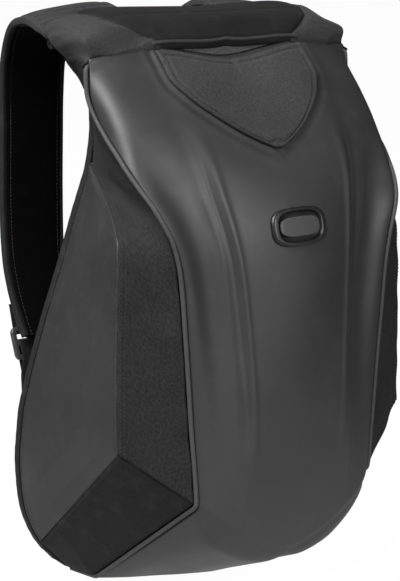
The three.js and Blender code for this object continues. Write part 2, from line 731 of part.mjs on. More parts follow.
function makeTopGusset() {
  const across = shares(TOP_GUSSET_SPANS.across, -TOP_GUSSET_U, TOP_GUSSET_U);
  const rows = shares(TOP_GUSSET_SPANS.up).map((r) => across.map(
    (u) => shellPoint(u, 0).lerp(collarEdge(u, 2 * PIPING_ROOM), r),
  ));
  return wall(rows, CLOTH_WALL, { left: GAP, right: GAP, top: GAP, bottom: 0, square: true });
}

function makeFlap() {
  const downs = FLAP_OUTLINE.map((row) => row.down);
  const halfU = spline(downs, FLAP_OUTLINE.map((row) => row.u));
  const at = (a, b, lift) => {
    const u = a * halfU(b);
    const t = THREE.MathUtils.lerp(FLAP_TOP_T, FLAP_TIP_T, b);
    return shellPoint(u, t).addScaledVector(shellNormal(u, t), lift);
  };
  const across = shares(FLAP_SPANS.across, -1, 1);
  const grid = (lift) => shares(FLAP_SPANS.down).map((b) => across.map((a) => at(a, b, lift)));
  return solidBetween(grid(FLAP_LIFT + FLAP_WALL), grid(FLAP_LIFT));
}

// The shell's u and t at a distance across and up from the badge's middle, found in a few tries.
function badgeShares(x, up) {
  const middle = shellPoint(0, BADGE_T);
  const lower = shellPoint(0, BADGE_T + BADGE_STEP);
  const acrossMm = shellPoint(BADGE_STEP, BADGE_T).x / BADGE_STEP;
  const dropMm = (middle.z - lower.z) / BADGE_STEP;
  const z = middle.z + (up * (middle.z - lower.z)) / middle.distanceTo(lower);
  let u = 0;
  let t = BADGE_T;
  for (let i = 0; i < BADGE_TRIES; i += 1) {
    const point = shellPoint(u, t);
    u += (x - point.x) / acrossMm;
    t += (point.z - z) / dropMm;
  }
  return { u, t };
}

// A pad that follows the shell around the badge: rings of height from its middle outwards.
function badgePad(rings, size, lift) {
  const halfHeight = BADGE_HALF_HEIGHT * badgeHeightShare(size);
  const bend = (value) => Math.sign(value) * Math.abs(value) ** BADGE_SQUARENESS;
  const at = (r, angle, height) => {
    const x = r * size * BADGE_HALF_WIDTH * bend(Math.cos(angle));
    const { u, t } = badgeShares(x, r * halfHeight * bend(Math.sin(angle)));
    return shellPoint(u, t).addScaledVector(shellNormal(u, t), height);
  };
  const angles = shares(BADGE_SIDES - 1, 0, 2 * Math.PI * (1 - 1 / BADGE_SIDES));
  const profile = [...rings, ...rings.map(({ r }) => ({ r, h: lift })).reverse()];
  const positions = [];
  const indices = [];
  profile.forEach(({ r, h }) => angles.forEach((angle) => positions.push(...at(r, angle, h).toArray())));
  const tops = [at(0, 0, rings[0].h), at(0, 0, lift)];
  tops.forEach((point) => positions.push(...point.toArray()));
  const count = BADGE_SIDES;
  const middle = profile.length * count;
  for (let j = 0; j < count; j += 1) {
    const k = (j + 1) % count;
    for (let i = 0; i < profile.length - 1; i += 1) {
      indices.push(i * count + j, (i + 1) * count + j, (i + 1) * count + k);
      indices.push(i * count + j, (i + 1) * count + k, i * count + k);
    }
    const end = (profile.length - 1) * count;
    indices.push(middle, j, k, middle + 1, end + k, end + j);
  }
  return geometryOf(positions, indices);
}

// The plate keeps an even margin inside the bezel, so its height shrinks more than its width.
function badgeHeightShare(size) {
  return 1 - (1 - size) * (BADGE_HALF_WIDTH / BADGE_HALF_HEIGHT);
}

function makeBackPanel() {
  const face = (bulge) => shares(PANEL_SPANS).map((down) => {
    const z = THREE.MathUtils.lerp(PANEL_TOP, PANEL_BOTTOM, down);
    const edge = outlineRail.at(z);
    return PANEL_COLUMNS.map((u) => {
      const point = place(edge);
      const half = insetHalf(point.z, BINDING_WIDTH + 5 * GAP);
      const puff = bulge * (1 - u ** PUFF_POWER) * (1 - (2 * down - 1) ** PUFF_POWER);
      const rim = BINDING_DEPTH * (bulge ? PANEL_RIM_SHARE : 1);
      return new THREE.Vector3(u * half, point.y - rim + puff, point.z);
    });
  });
  return solidBetween(face(PANEL_BULGE), face(0));
}

function makeBinding() {
  const half = BINDING_WIDTH / 2;
  const side = shares(BINDING_SPANS).map((share) => {
    const point = place(along(outlineRail, 1 - share));
    const z = THREE.MathUtils.clamp(point.z, half, outlineRail.top * HEIGHT - half);
    return new THREE.Vector3(insetHalf(z, half), point.y - BINDING_DEPTH / 2, z);
  });
  const first = side[0];
  const last = side[side.length - 1];
  const top = shares(6, 1, -1).slice(1, -1).map((share) => last.clone().setX(last.x * share));
  const bottom = shares(6, -1, 1).slice(1, -1).map((share) => first.clone().setX(first.x * share));
  const left = [...side].reverse().map((point) => point.clone().setX(-point.x));
  const path = [...side, ...top, ...left, ...bottom];
  const across = path.map(() => new THREE.Vector3(0, 1, 0));
  const sizes = path.map(() => ({ width: BINDING_DEPTH, thickness: BINDING_WIDTH }));
  return band(path, across, sizes, BINDING_SECTION, true);
}

const strapPath = new THREE.CatmullRomCurve3(STRAP_ROWS.map(place), false, 'centripetal');

function strapSizes(key, count) {
  const knots = STRAP_ROWS.map((_, i) => i / (STRAP_ROWS.length - 1));
  const value = spline(knots, STRAP_ROWS.map((row) => row[key]));
  return shares(count).map(value);
}

function makeStrap() {
  const path = shares(STRAP_SPANS).map((share) => strapPath.getPoint(share));
  const widths = strapSizes('width', STRAP_SPANS);
  const depths = strapSizes('thick', STRAP_SPANS);
  const tilts = strapSizes('tilt', STRAP_SPANS);
  const across = tilts.map((tilt) => new THREE.Vector3(Math.cos(tilt), 0, -Math.sin(tilt)));
  const sizes = widths.map((width, i) => ({
    width: width * STRAP_WIDTH,
    thickness: depths[i] * STRAP_THICKNESS,
  }));
  return band(path, across, sizes, PAD_SECTION);
}

function makeLadderLock() {
  const frame = new THREE.Shape();
  frame.moveTo(-LOCK_WIDTH / 2, -LOCK_HEIGHT / 2);
  frame.lineTo(LOCK_WIDTH / 2, -LOCK_HEIGHT / 2);
  frame.lineTo(LOCK_WIDTH / 2, LOCK_HEIGHT / 2);
  frame.lineTo(-LOCK_WIDTH / 2, LOCK_HEIGHT / 2);
  frame.closePath();
  const slotHeight = (LOCK_HEIGHT - 3 * LOCK_BAR) / 2;
  const slotHalf = LOCK_WIDTH / 2 - LOCK_BAR;
  [LOCK_BAR / 2, -LOCK_BAR / 2 - slotHeight].forEach((low) => {
    const slot = new THREE.Path();
    slot.moveTo(-slotHalf, low);
    slot.lineTo(-slotHalf, low + slotHeight);
    slot.lineTo(slotHalf, low + slotHeight);
    slot.lineTo(slotHalf, low);
    slot.closePath();
    frame.holes.push(slot);
  });
  const body = new THREE.ExtrudeGeometry(frame, {
    depth: LOCK_THICKNESS - 2 * LOCK_BEVEL,
    bevelThickness: LOCK_BEVEL,
    bevelSize: LOCK_BEVEL,
    bevelOffset: -LOCK_BEVEL,
    bevelSegments: 1,
  });
  body.translate(0, 0, -LOCK_THICKNESS / 2 + LOCK_BEVEL);
  return body.applyMatrix4(lockFrame);
}

// The lock's frame: its height runs up the strap and its front faces the back panel.
const lockFrame = new THREE.Matrix4()
  .makeRotationX(Math.PI / 2 - LOCK_LEAN)
  .setPosition(place(LOCK_PLACE));

// A point beside the lock: up along it, and out of it towards the back panel.
function byLock(up, out) {
  return new THREE.Vector3(0, up, out).applyMatrix4(lockFrame);
}

function ribbon(path) {
  const across = path.map(() => new THREE.Vector3(1, 0, 0));
  const sizes = path.map(() => ({ width: WEBBING_WIDTH, thickness: WEBBING_THICKNESS }));
  return band(path, across, sizes, FLAT_SECTION);
}

function makeWebbing() {
  const clear = LOCK_THICKNESS / 2 + WEBBING_THICKNESS / 2 + GAP;
  const turn = LOCK_BAR / 2 + WEBBING_THICKNESS / 2 + GAP;
  const lower = WEBBING_ROWS.map(place);
  return ribbon([
    ...lower,
    byLock(-LOCK_HEIGHT / 2, clear),
    byLock(turn / 2, clear),
    byLock(turn, clear / 2),
    byLock(turn, -clear / 2),
    byLock(turn / 2, -clear),
    byLock(-LOCK_HEIGHT / 2, -clear),
    byLock(-LOCK_HEIGHT / 2 - TAIL_LENGTH, -clear - GAP),
  ]);
}

function makeLockTab() {
  const clear = LOCK_THICKNESS / 2 + WEBBING_THICKNESS / 2 + GAP;
  const turn = LOCK_HEIGHT / 2 - LOCK_BAR - WEBBING_THICKNESS / 2 - GAP;
  return ribbon([
    byLock(LOCK_HEIGHT / 2 + TAB_LENGTH, clear),
    byLock(turn + WEBBING_THICKNESS, clear),
    byLock(turn, clear / 2),
    byLock(turn, -clear / 2),
    byLock(turn + WEBBING_THICKNESS, -clear),
    byLock(LOCK_HEIGHT / 2 + TAB_LENGTH, -TAB_CLOSED),
  ]);
}

// Materials, by what each piece is made of.
function look(color, roughness, metalness = 0) {
  return () => new THREE.MeshStandardMaterial({ color, roughness, metalness });
}

const shellLook = look(0x3d3e41, 0.45);
const panelLook = look(0x37383b, 0.6);
const weaveLook = look(0x2c2d2f, 0.85);
const yokeLook = look(0x2e2f31, 0.8);
const darkLook = look(0x1b1b1d, 0.9);
const pipingLook = look(0x6d6e70, 0.6);
const strapLook = look(0x141415, 0.9);
const plasticLook = look(0x18181a, 0.4);
const plateLook = look(0x3a3c40, 0.35, 0.6);

const backpack = new THREE.Group();
backpack.name = 'hard_shell_backpack';

function add(name, geometry, material) {
  const mesh = new THREE.Mesh(geometry, material());
  mesh.name = name;
  backpack.add(mesh);
}

// A piece on the right and its mirror image on the left.
function addPair(name, geometry, material) {
  const positions = [...geometry.attributes.position.array];
  const flipped = positions.map((value, i) => (i % 3 === 0 ? -value : value));
  const count = positions.length / 3;
  const indices = geometry.index ? [...geometry.index.array] : Array.from({ length: count }, (_, i) => i);
  add(`${name}_right`, geometry, material);
  add(`${name}_left`, geometryOf(flipped, indices), material);
}

add('shell', makeShell(), shellLook);
addPair('front_gusset', makeFrontGusset(), weaveLook);
addPair('side_panel', makeSidePanel(), panelLook);
addPair('bottom_gusset', makeBottomGusset(), darkLook);
addPair('piping', makePiping(), pipingLook);
add('yoke', makeYoke(), yokeLook);
add('collar_piping', makeCollarPiping(), pipingLook);
add('top_gusset', makeTopGusset(), weaveLook);
add('flap', makeFlap(), weaveLook);
add('badge_bezel', badgePad(BEZEL_RINGS, 1, GAP), plasticLook);
add('badge_plate', badgePad(PLATE_RINGS, BADGE_PLATE_SHARE, BEZEL_FLOOR + GAP), plateLook);
add('back_panel', makeBackPanel(), darkLook);
add('edge_binding', makeBinding(), darkLook);
addPair('shoulder_strap', makeStrap(), strapLook);
addPair('ladder_lock', makeLadderLock(), plasticLook);
addPair('strap_webbing', makeWebbing(), darkLook);
addPair('lock_tab', makeLockTab(), darkLook);

export default backpack;
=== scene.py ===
"""Hard shell backpack: the dressed model, in metres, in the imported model's own frame."""
import math
import bpy
import numpy as np
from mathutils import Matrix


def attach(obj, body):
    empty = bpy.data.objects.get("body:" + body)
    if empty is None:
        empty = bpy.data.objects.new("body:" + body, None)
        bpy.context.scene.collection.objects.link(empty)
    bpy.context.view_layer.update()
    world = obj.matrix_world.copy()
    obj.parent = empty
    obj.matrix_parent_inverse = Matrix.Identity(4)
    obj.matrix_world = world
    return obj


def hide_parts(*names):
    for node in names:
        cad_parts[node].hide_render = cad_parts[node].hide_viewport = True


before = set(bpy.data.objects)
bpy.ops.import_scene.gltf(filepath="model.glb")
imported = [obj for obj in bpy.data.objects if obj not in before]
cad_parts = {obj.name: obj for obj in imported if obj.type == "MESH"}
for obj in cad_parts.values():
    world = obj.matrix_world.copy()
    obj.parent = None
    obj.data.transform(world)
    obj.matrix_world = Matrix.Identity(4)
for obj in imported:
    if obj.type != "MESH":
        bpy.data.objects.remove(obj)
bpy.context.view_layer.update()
FINE = 2


def thousandths(*rows):
    return np.array(rows) / 1000


# Overall sizes of the body, and the plane that depths are counted from.
HEIGHT = 0.508
HALF_WIDTH = 0.168
DEPTH = 0.214
BACK_Y = 0.045
CORE_Y = BACK_Y - 0.45 * DEPTH

# Walls, gaps and edgings.
SHELL_WALL = 0.0018
CLOTH_WALL = 0.002
GAP = 0.0003
PIPING_RADIUS = 0.002
PIPING_ROOM = PIPING_RADIUS + 2 * GAP
COLLAR_DROP = PIPING_RADIUS + 4 * GAP
BINDING_DEPTH = 0.007
BINDING_WIDTH = 0.005
RIDGE_U = 0.4

# Rails down the body: each row is (z, x, d) in thousandths of HEIGHT, HALF_WIDTH and DEPTH.
CENTRE_RAIL = thousandths((913, 0, 523), (886, 0, 598), (846, 0, 692), (797, 0, 785), (748, 0, 860),
    (699, 0, 916), (650, 0, 953), (591, 0, 979), (512, 0, 995), (433, 0, 1000), (354, 0, 995), (276, 0, 984),
    (197, 0, 965), (138, 0, 946), (81, 0, 925))
RIDGE_RAIL = thousandths((935, 500, 528), (896, 503, 607), (846, 506, 701), (797, 497, 780), (748, 488, 841),
    (709, 476, 874), (669, 452, 900), (630, 429, 921), (591, 408, 935), (512, 381, 949), (433, 360, 960),
    (354, 345, 972), (276, 336, 974), (197, 330, 958), (118, 321, 935))
VALLEY_RAIL = thousandths((933, 560, 526), (896, 595, 593), (846, 607, 687), (797, 589, 762), (748, 568, 818),
    (709, 548, 850), (669, 521, 876), (630, 491, 897), (591, 467, 911), (512, 438, 925), (433, 417, 937),
    (354, 405, 946), (276, 396, 949), (197, 393, 944), (130, 387, 935))
SHOULDER_RAIL = thousandths((925, 762, 519), (896, 869, 551), (866, 905, 607), (839, 920, 659),
    (813, 923, 703), (783, 911, 748), (748, 887, 792), (709, 839, 841), (669, 774, 886), (630, 720, 904),
    (591, 679, 911), (512, 631, 914), (433, 601, 914), (354, 577, 914), (276, 557, 914), (197, 548, 916),
    (165, 542, 918))
EDGE_RAIL = thousandths((919, 899, 505), (886, 905, 507), (866, 902, 509), (846, 896, 521), (827, 890, 544),
    (807, 890, 584), (785, 896, 640), (754, 896, 717), (719, 875, 790), (689, 845, 846), (659, 810, 881),
    (630, 771, 895), (591, 735, 897), (551, 714, 895), (472, 690, 893), (394, 667, 890), (315, 646, 888),
    (236, 622, 888), (189, 610, 886))
SEAM_RAIL = thousandths((732, 640, 285), (720, 679, 346), (707, 726, 421), (683, 845, 579), (657, 929, 696),
    (634, 967, 748), (600, 982, 764), (531, 988, 766), (453, 994, 766), (374, 997, 766), (287, 994, 766))
CREASE_RAIL = thousandths((734, 628, 252), (689, 756, 430), (650, 863, 551), (612, 917, 589), (531, 946, 607),
    (451, 973, 612), (370, 997, 607), (329, 1000, 593))
BACK_RAIL = thousandths((913, 798, 271), (882, 714, 266), (852, 655, 262), (827, 628, 252), (783, 613, 238),
    (734, 622, 222), (689, 655, 206), (656, 685, 196), (573, 753, 173), (472, 845, 145), (368, 920, 112),
    (303, 949, 89), (246, 949, 70), (181, 926, 51), (140, 899, 42), (98, 839, 28), (65, 774, 23))
SHELL_U = np.array([0.0, RIDGE_U, 0.48, 0.8, 1.0])
SHELL_RAILS = [CENTRE_RAIL, RIDGE_RAIL, VALLEY_RAIL, SHOULDER_RAIL, EDGE_RAIL]

# The front edge of the flat base, across the shell: (u, x, d), and the drop of the lower lip.
FOOT = thousandths((0, 0, 460), (400, 220, 375), (480, 262, 354), (800, 440, 275), (1000, 554, 201))
BASE_BACK_X = 0.548
BASE_BACK_D = 0.043
LIP_END = 0.08
LIP = thousandths((0, 5), (200, 22), (400, 30), (800, 30), (940, 15), (1000, 0))

# Relief of the shell: how far the ridges rise, and the valleys, the hollows and the lower crease sink.
RIDGE_LIFT = 0.0015
VALLEY_DROP = 0.0017
HOLLOW_DROP = 0.0045
CREASE_DROP = 0.0018
# Passes that ease the shell's top corners, and its underside.
CORNER_PASSES = 77
UNDER_PASSES = 6

# The yoke: (u, z, x, d) along its front rise, its crest and its back edge.
YOKE_RISE = thousandths((0, 974, 0, 494), (400, 972, 520, 470), (800, 958, 810, 480), (930, 946, 893, 490),
    (1000, 918, 868, 442))
YOKE_CREST = thousandths((0, 991, 0, 365), (400, 994, 550, 320), (800, 971, 850, 330), (930, 948, 895, 365),
    (1000, 916, 832, 373))
YOKE_BACK = thousandths((0, 962, 0, 272), (200, 963, 260, 270), (300, 986, 400, 220), (400, 990, 550, 215),
    (800, 965, 860, 215), (930, 944, 878, 260), (1000, 913, 799, 306))
YOKE_KNOTS = np.array([0, 0.33, 0.66, 1])
YOKE_WALL = 0.0024
COLLAR_RISE = 0.018
COLLAR_END_RISE = 0.005
COLLAR_FADE_U = 0.5
TOP_GUSSET_U = 0.355
# The seam between the yoke's middle and its wings: (r, u) from the collar to the back edge.
YOKE_SEAM = thousandths((0, 380), (250, 500), (420, 580), (580, 610), (800, 570), (1000, 520))
GATHER_PITCH = 0.0085

FLAP_TOP_T = 0.01
FLAP_TIP_T = 0.178
FLAP_LIFT = 0.0004
FLAP_WALL = 0.0028
FLAP_STITCH_INSET = 0.004
FLAP_OUTLINE = thousandths((0, 400), (300, 400), (550, 345), (800, 215), (1000, 20))

BADGE_T = 0.33
BADGE_STEP = 0.05
BADGE_HALF_WIDTH = 0.031
BADGE_HALF_HEIGHT = 0.0165
BADGE_SQUARENESS = 0.62
BADGE_PLATE_SHARE = 0.74
# Profiles of the bezel and the plate: (share of the half size, height over the shell).
BEZEL_ROWS = np.array([(0.76, 0.0004), (0.78, 0.0016), (0.8, 0.0033), (0.83, 0.0036), (0.92, 0.0036),
                       (0.97, 0.003), (1, 0.0018), (1, 0.0004)])
PLATE_ROWS = np.array([(0.02, 0.0028), (0.5, 0.0029), (0.93, 0.0029), (0.98, 0.0026), (1, 0.0019)])

# The back panel's outline above the rails of the back edge, and below them.
OUTLINE_TOP = thousandths((957, 680, 262), (951, 745, 266), (940, 790, 270), (926, 805, 271))
OUTLINE_FOOT = thousandths((28, 655, 9), (6, 555, 5), (1, 520, 5))
OUTLINE_RAIL = np.concatenate([OUTLINE_TOP, BACK_RAIL, OUTLINE_FOOT])
PANEL_TOP = 0.943
PANEL_BOTTOM = 0.012
PANEL_BULGE = 0.007
# Heights of the air channels across the padded back.
CHANNEL_LEVELS = (0.11, 0.19, 0.27, 0.35, 0.42)
CHANNEL_DEPTH = 0.0036
MIDDLE_CHANNEL_DEPTH = 0.0042

# Shares of the seam, the crease and the back edge at the side panel's elbow.
ELBOW_SEAM_Z = 0.315
ELBOW_BACK_Z = 0.181
CREASE_U = 0.3
FOLD_AT_CREASE = 0.244
FOLD_BEND = 0.8
FACET_LIFT = 0.002

# The shoulder strap: (x, d, z, width, thickness, tilt) down its middle line.
STRAP_THICKNESS = 0.011
STRAP_WIDTH = 0.066
STRAP_ROWS = thousandths((600, 200, 970.5, 1360, 900, 120), (590, 80, 984, 1300, 1000, 120),
    (575, -30, 975, 1170, 1000, 80), (550, -130, 945, 1050, 1000, 30), (535, -190, 900, 1000, 1000, 0),
    (525, -215, 840, 990, 1000, 0), (525, -220, 760, 980, 1000, 0), (530, -220, 670, 980, 1000, 0),
    (538, -210, 600, 970, 1000, 0), (550, -190, 545, 940, 1000, 0), (570, -158, 495, 840, 950, 0),
    (595, -120, 452, 680, 850, 0), (620, -80, 415, 500, 600, 0))
# The share of the strap's length that the wing's cloth covers.
COVERED = 0.17

# The ladder lock under each strap and the webbing through it.
LOCK_WIDTH = 0.036
LOCK_HEIGHT = 0.03
LOCK_THICKNESS = 0.004
LOCK_BAR = 0.005
LOCK_PLACE = (0.64, -0.135, 0.405)
LOCK_LEAN = 0.32
WEBBING_WIDTH = 0.025
WEBBING_THICKNESS = 0.0016
TAIL_LENGTH = 0.01
TAB_LENGTH = 0.022
TAB_CLOSED = 0.0012
WEBBING_ROWS = thousandths((725, 4, 90), (724, 11, 120), (722, 17, 160), (715, 0, 225), (698, -45, 290),
    (665, -90, 350))

# A stitch, and the steps between stitches.
STITCH_PITCH = 0.0032
STITCH_LENGTH = 0.0022
STITCH_RADIUS = 0.00032

# The right side and its mirror image.
LEFT = np.array([-1, 1, 1])
SIDES = (("right", np.ones(3)), ("left", LEFT))


# ---- Curves and grids ----

def hermite(knots, values, at):
    """Smooth curve through values at rising knots that never overshoots: cubic pieces whose slope
    at a knot is the harmonic mean of the slopes beside it, and zero where they turn."""
    values = np.asarray(values, float)
    at = np.asarray(at, float)
    if values.ndim == 1:
        values = np.broadcast_to(values.reshape(-1, *([1] * at.ndim)), (len(knots), *at.shape))
    span = np.diff(knots).reshape(-1, *([1] * at.ndim))
    slope = np.diff(values, axis=0) / span
    product = slope[:-1] * slope[1:]
    total = slope[:-1] + slope[1:]
    middle = np.where(product > 0, 2 * product / np.where(total == 0, 1, total), 0)
    tangent = np.concatenate([slope[:1], middle, slope[-1:]])
    i = np.clip(np.searchsorted(knots, at, side="left") - 1, 0, len(knots) - 2)
    pick = lambda rows, k: np.take_along_axis(rows, k[None], 0)[0]
    width = np.diff(knots)[i]
    s = np.clip((at - np.asarray(knots)[i]) / width, 0, 1)
    low, high = pick(values, i), pick(values, i + 1)
    early = s * (1 - s) ** 2 * width * pick(tangent, i)
    late = s ** 2 * (s - 1) * width * pick(tangent, i + 1)
    return low + (high - low) * s ** 2 * (3 - 2 * s) + early + late


def read(table, at, column=1):
    """A column of a table, smoothly between its rows, by its first column."""
    return hermite(table[:, 0], table[:, column], at)


def steps(*spans):
    """Even steps through spans that follow on, each a start, an end and a count of points."""
    parts = [np.linspace(start, end, count * FINE) for start, end, count in spans]
    return np.concatenate([parts[0]] + [part[1:] for part in parts[1:]])


def fade(value, start, end):
    """0 up to start and 1 from end on, straight between them; end may be the smaller."""
    return np.clip((value - start) / (end - start), 0, 1)


def bell(value, middle, width):
    return np.exp(-((value - middle) / width) ** 2)


def mix(a, b, share):
    return a + (b - a) * share


def unit(v):
    return v / np.maximum(np.linalg.norm(v, axis=-1, keepdims=True), 1e-12)


def waves(seed, count, low, high):
    """A sum of sine waves of seeded directions, lengths and phases over two coordinates, about -1 to 1."""
    rng = np.random.default_rng(seed)
    length = rng.uniform(low, high, count)
    turn = rng.uniform(0, np.pi, count)
    phase = rng.uniform(0, 2 * np.pi, count)

    def at(a, b):
        total = 0
        for w, t, p in zip(length, turn, phase):
            total = total + np.sin(2 * np.pi * (a * np.cos(t) + b * np.sin(t)) / w + p)
        return total / math.sqrt(count)
    return at


def place(x, d, z):
    """A point from shares: x of HALF_WIDTH, d of DEPTH forwards from BACK_Y, z of HEIGHT."""
    return np.stack([x * HALF_WIDTH, BACK_Y - d * DEPTH, z * HEIGHT], -1)


def rail_at(rail, z):
    """The (x, d) shares of a rail at height share z."""
    return read(rail[::-1], z), read(rail[::-1], z, 2)


def along(rail, t):
    """The (x, d, z) shares at share t of the way down a rail."""
    z = mix(rail[0, 0], rail[-1, 0], np.asarray(t, float))
    return *rail_at(rail, z), z


def shell_point(u, t):
    """The shell's front: at share t down every rail, a smooth curve across them at |u|, mirrored in X."""
    u, t = np.broadcast_arrays(np.asarray(u, float), np.asarray(t, float))
    rows = np.array([along(rail, t) for rail in SHELL_RAILS])
    mirrored = rows[[2, 1]].copy()
    mirrored[:, 0] *= -1
    rows = np.concatenate([mirrored, rows])
    knots = np.concatenate([-SHELL_U[[2, 1]], SHELL_U])
    x, d, z = (hermite(knots, rows[:, k], np.abs(u)) for k in range(3))
    return place(x * np.sign(u), d, z)


def shell_normal(u, t, step=0.01):
    """Outward direction of the shell's front, from differences across and down."""
    across = shell_point(u + step, t) - shell_point(u - step, t)
    down = shell_point(u, t + step) - shell_point(u, np.maximum(t - step, 0))
    return unit(np.cross(down, across))


def shell_under(u, s):
    """Under the shell: straight from crease to foot for s in 0..1, dropped by the lip, then flat to the back."""
    u, s = np.broadcast_arrays(np.asarray(u, float), np.asarray(s, float))
    away = np.abs(u)
    foot_x = read(FOOT, away) * np.sign(u)
    foot = place(foot_x, read(FOOT, away, 2), 0 * u)
    back = place(foot_x * BASE_BACK_X / FOOT[-1, 1], BASE_BACK_D + 0 * u, 0 * u)
    slope = mix(shell_point(u, 1.0), foot, np.minimum(s, 1)[..., None])
    slope[..., 2] -= HEIGHT * read(LIP, away) * np.clip(1 - s, 0, 1) * np.minimum(s / LIP_END, 1)
    return np.where((s <= 1)[..., None], slope, mix(foot, back, np.maximum(s - 1, 0)[..., None]))


def lengths(rows):
    """Length along each row of a grid up to each of its points."""
    spans = np.linalg.norm(np.diff(rows, axis=1), axis=-1)
    return np.concatenate([np.zeros((len(rows), 1)), np.cumsum(spans, 1)], 1)


def runs(rows):
    """Lengths across and down a grid up to each of its points."""
    return lengths(rows), lengths(rows.transpose(1, 0, 2)).T


def at_length(run, at, *grids):
    """Grids at given lengths along their rows, where run is the length up to each of their points."""
    last = run.shape[1] - 2
    i = np.array([np.clip(np.searchsorted(r, a, side="left") - 1, 0, last) for r, a in zip(run, at)])
    line = np.arange(len(run)).reshape(-1, *[1] * (i.ndim - 1))
    share = ((at - run[line, i]) / (run[line, i + 1] - run[line, i]))[..., None]
    return [mix(grid[line, i], grid[line, i + 1], share) for grid in grids]


def trim(rows, left, right, top, bottom):
    """A grid cut back from its edges by distances, its points keeping their shares of the length."""
    for start, end in ((left, right), (top, bottom)):
        run = lengths(rows)
        total = run[:, -1:]
        rows = at_length(run, start + run / total * (total - start - end), rows)[0].transpose(1, 0, 2)
    return rows


def line_inside(rows, normals, inset, last=False):
    """The line a given distance inside the first (or last) column of a grid, and its normals."""
    run = lengths(rows)
    return at_length(run, run[:, -1] - inset if last else np.full(len(rows), inset), rows, normals)


def sample(i, j, *grids):
    """Grids at fractional rows i and columns j, bilinear."""
    low_i = np.clip(np.floor(i).astype(int), 0, grids[0].shape[0] - 2)
    low_j = np.clip(np.floor(j).astype(int), 0, grids[0].shape[1] - 2)
    right = (j - low_j)[:, None]
    pairs = [[mix(rows[k, low_j], rows[k, low_j + 1], right) for k in (low_i, low_i + 1)] for rows in grids]
    return [mix(*pair, (i - low_i)[:, None]) for pair in pairs]


def core_of(rows):
    """The core line's point level with each given point."""
    level = np.clip(rows[..., 2], 0.25 * HEIGHT, 0.8 * HEIGHT)
    return np.stack([0.25 * rows[..., 0], CORE_Y + 0 * level, level], -1)


def grid_normals(rows, core):
    """Cross product of the differences down and across, turned away from the core."""
    normal = unit(np.cross(np.gradient(rows, axis=0), np.gradient(rows, axis=1)))
    side = np.sign(np.sum(normal * (rows - core), -1, keepdims=True))
    return normal * np.where(side == 0, 1, side)


def edge_distance(rows):
    """Distance of each grid point from the nearest edge of the grid, measured along it."""
    across, down = runs(rows)
    return np.minimum(np.minimum(across, across[:, -1:] - across), np.minimum(down, down[-1:] - down))


def rolled(rows, normals, radius, depth):
    """Edges turned in: within radius of an edge the surface drops by a quarter circle, depth at the edge."""
    near = fade(edge_distance(rows), radius, 0)
    return rows - normals * (depth * (1 - np.sqrt(np.maximum(1 - near ** 2, 0))))[..., None]


def tucked(rows, inward, onward):
    """A seam allowance before a grid's first row: it steps in by one distance and runs on under its neighbour."""
    first = rows[0]
    deep = first + unit(core_of(first) - first) * inward
    further = unit(first - rows[1]) * onward
    return np.concatenate([(deep + further)[None], (deep + further * 0.3)[None], rows])


def soften(rows, passes, axis=0):
    """Each inner row (or column, on axis 1) drawn half way to its neighbours' mean, many times: rounds a crease."""
    rows = np.swapaxes(rows, 0, axis).copy()
    for _ in range(passes):
        rows[1:-1] = 0.5 * rows[1:-1] + 0.25 * (rows[:-2] + rows[2:])
    return np.swapaxes(rows, 0, axis)


def resample(path, step):
    """Points at even steps along a path."""
    run = lengths(path[None])[0]
    count = max(int(run[-1] / step), 1)
    at = (np.arange(count) + 0.5) / count * run[-1]
    return np.stack([np.interp(at, run, path[:, k]) for k in range(3)], -1)


def circle(count, power=1.0):
    """Cosines and sines round a circle; a power under 1 squares it."""
    angle = np.linspace(0, 2 * np.pi, count, endpoint=False)
    both = np.stack([np.cos(angle), np.sin(angle)], -1)
    return np.sign(both) * np.abs(both) ** power


# ---- Meshes ----

def make_object(name, points, quads, look, node=None, tris=None, uv=None):
    """A smooth mesh object that faces outwards, from whole arrays of points, quads and triangles."""
    points = points.reshape(-1, 3)
    faces = [quads] if tris is None else [quads, tris]
    loops = np.concatenate([face.ravel() for face in faces])
    totals = np.concatenate([np.full(len(face), face.shape[1]) for face in faces])
    corners = [[points[face[:, k]] for k in range(face.shape[1])] for face in faces]
    volume = sum(np.sum(c[0] * np.cross(c[k], c[k + 1])) for c in corners for k in range(1, len(c) - 1))
    mesh = bpy.data.meshes.new(name)
    mesh.vertices.add(len(points))
    mesh.vertices.foreach_set("co", points.ravel())
    mesh.loops.add(len(loops))
    mesh.polygons.add(len(totals))
    mesh.loops.foreach_set("vertex_index", loops)
    mesh.polygons.foreach_set("loop_start", np.cumsum(totals) - totals)
    mesh.polygons.foreach_set("loop_total", totals)
    if uv is not None:
        mesh.uv_layers.new(name="UVMap").data.foreach_set("uv", uv[loops].ravel())
    mesh.update(calc_edges=True)
    if volume < 0:
        mesh.flip_normals()
    mesh.polygons.foreach_set("use_smooth", np.ones(len(totals), bool))
    mesh.update()
    mesh.validate()
    piece = bpy.data.objects.new(name.replace(" ", "-"), mesh)
    bpy.context.scene.collection.objects.link(piece)
    mesh.materials.append(look)
    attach(piece, "root")
    if node:
        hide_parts(node)
    return piece


def second_look(piece, look, chosen):
    """Gives a piece a second material on the chosen ones of its first faces."""
    piece.data.materials.append(look)
    index = np.zeros(len(piece.data.polygons), np.int32)
    index[:len(chosen)] = chosen
    piece.data.polygons.foreach_set("material_index", index)


def grid_quads(rows, columns, start=0, wrap=False):
    """Quads of a grid of points, its last column joined to its first where it wraps."""
    i = np.arange(rows - 1)[:, None] * columns
    j = np.arange(columns if wrap else columns - 1)[None]
    k = (j + 1) % columns
    return start + np.stack([i + j, i + columns + j, i + columns + k, i + k], -1).reshape(-1, 4)


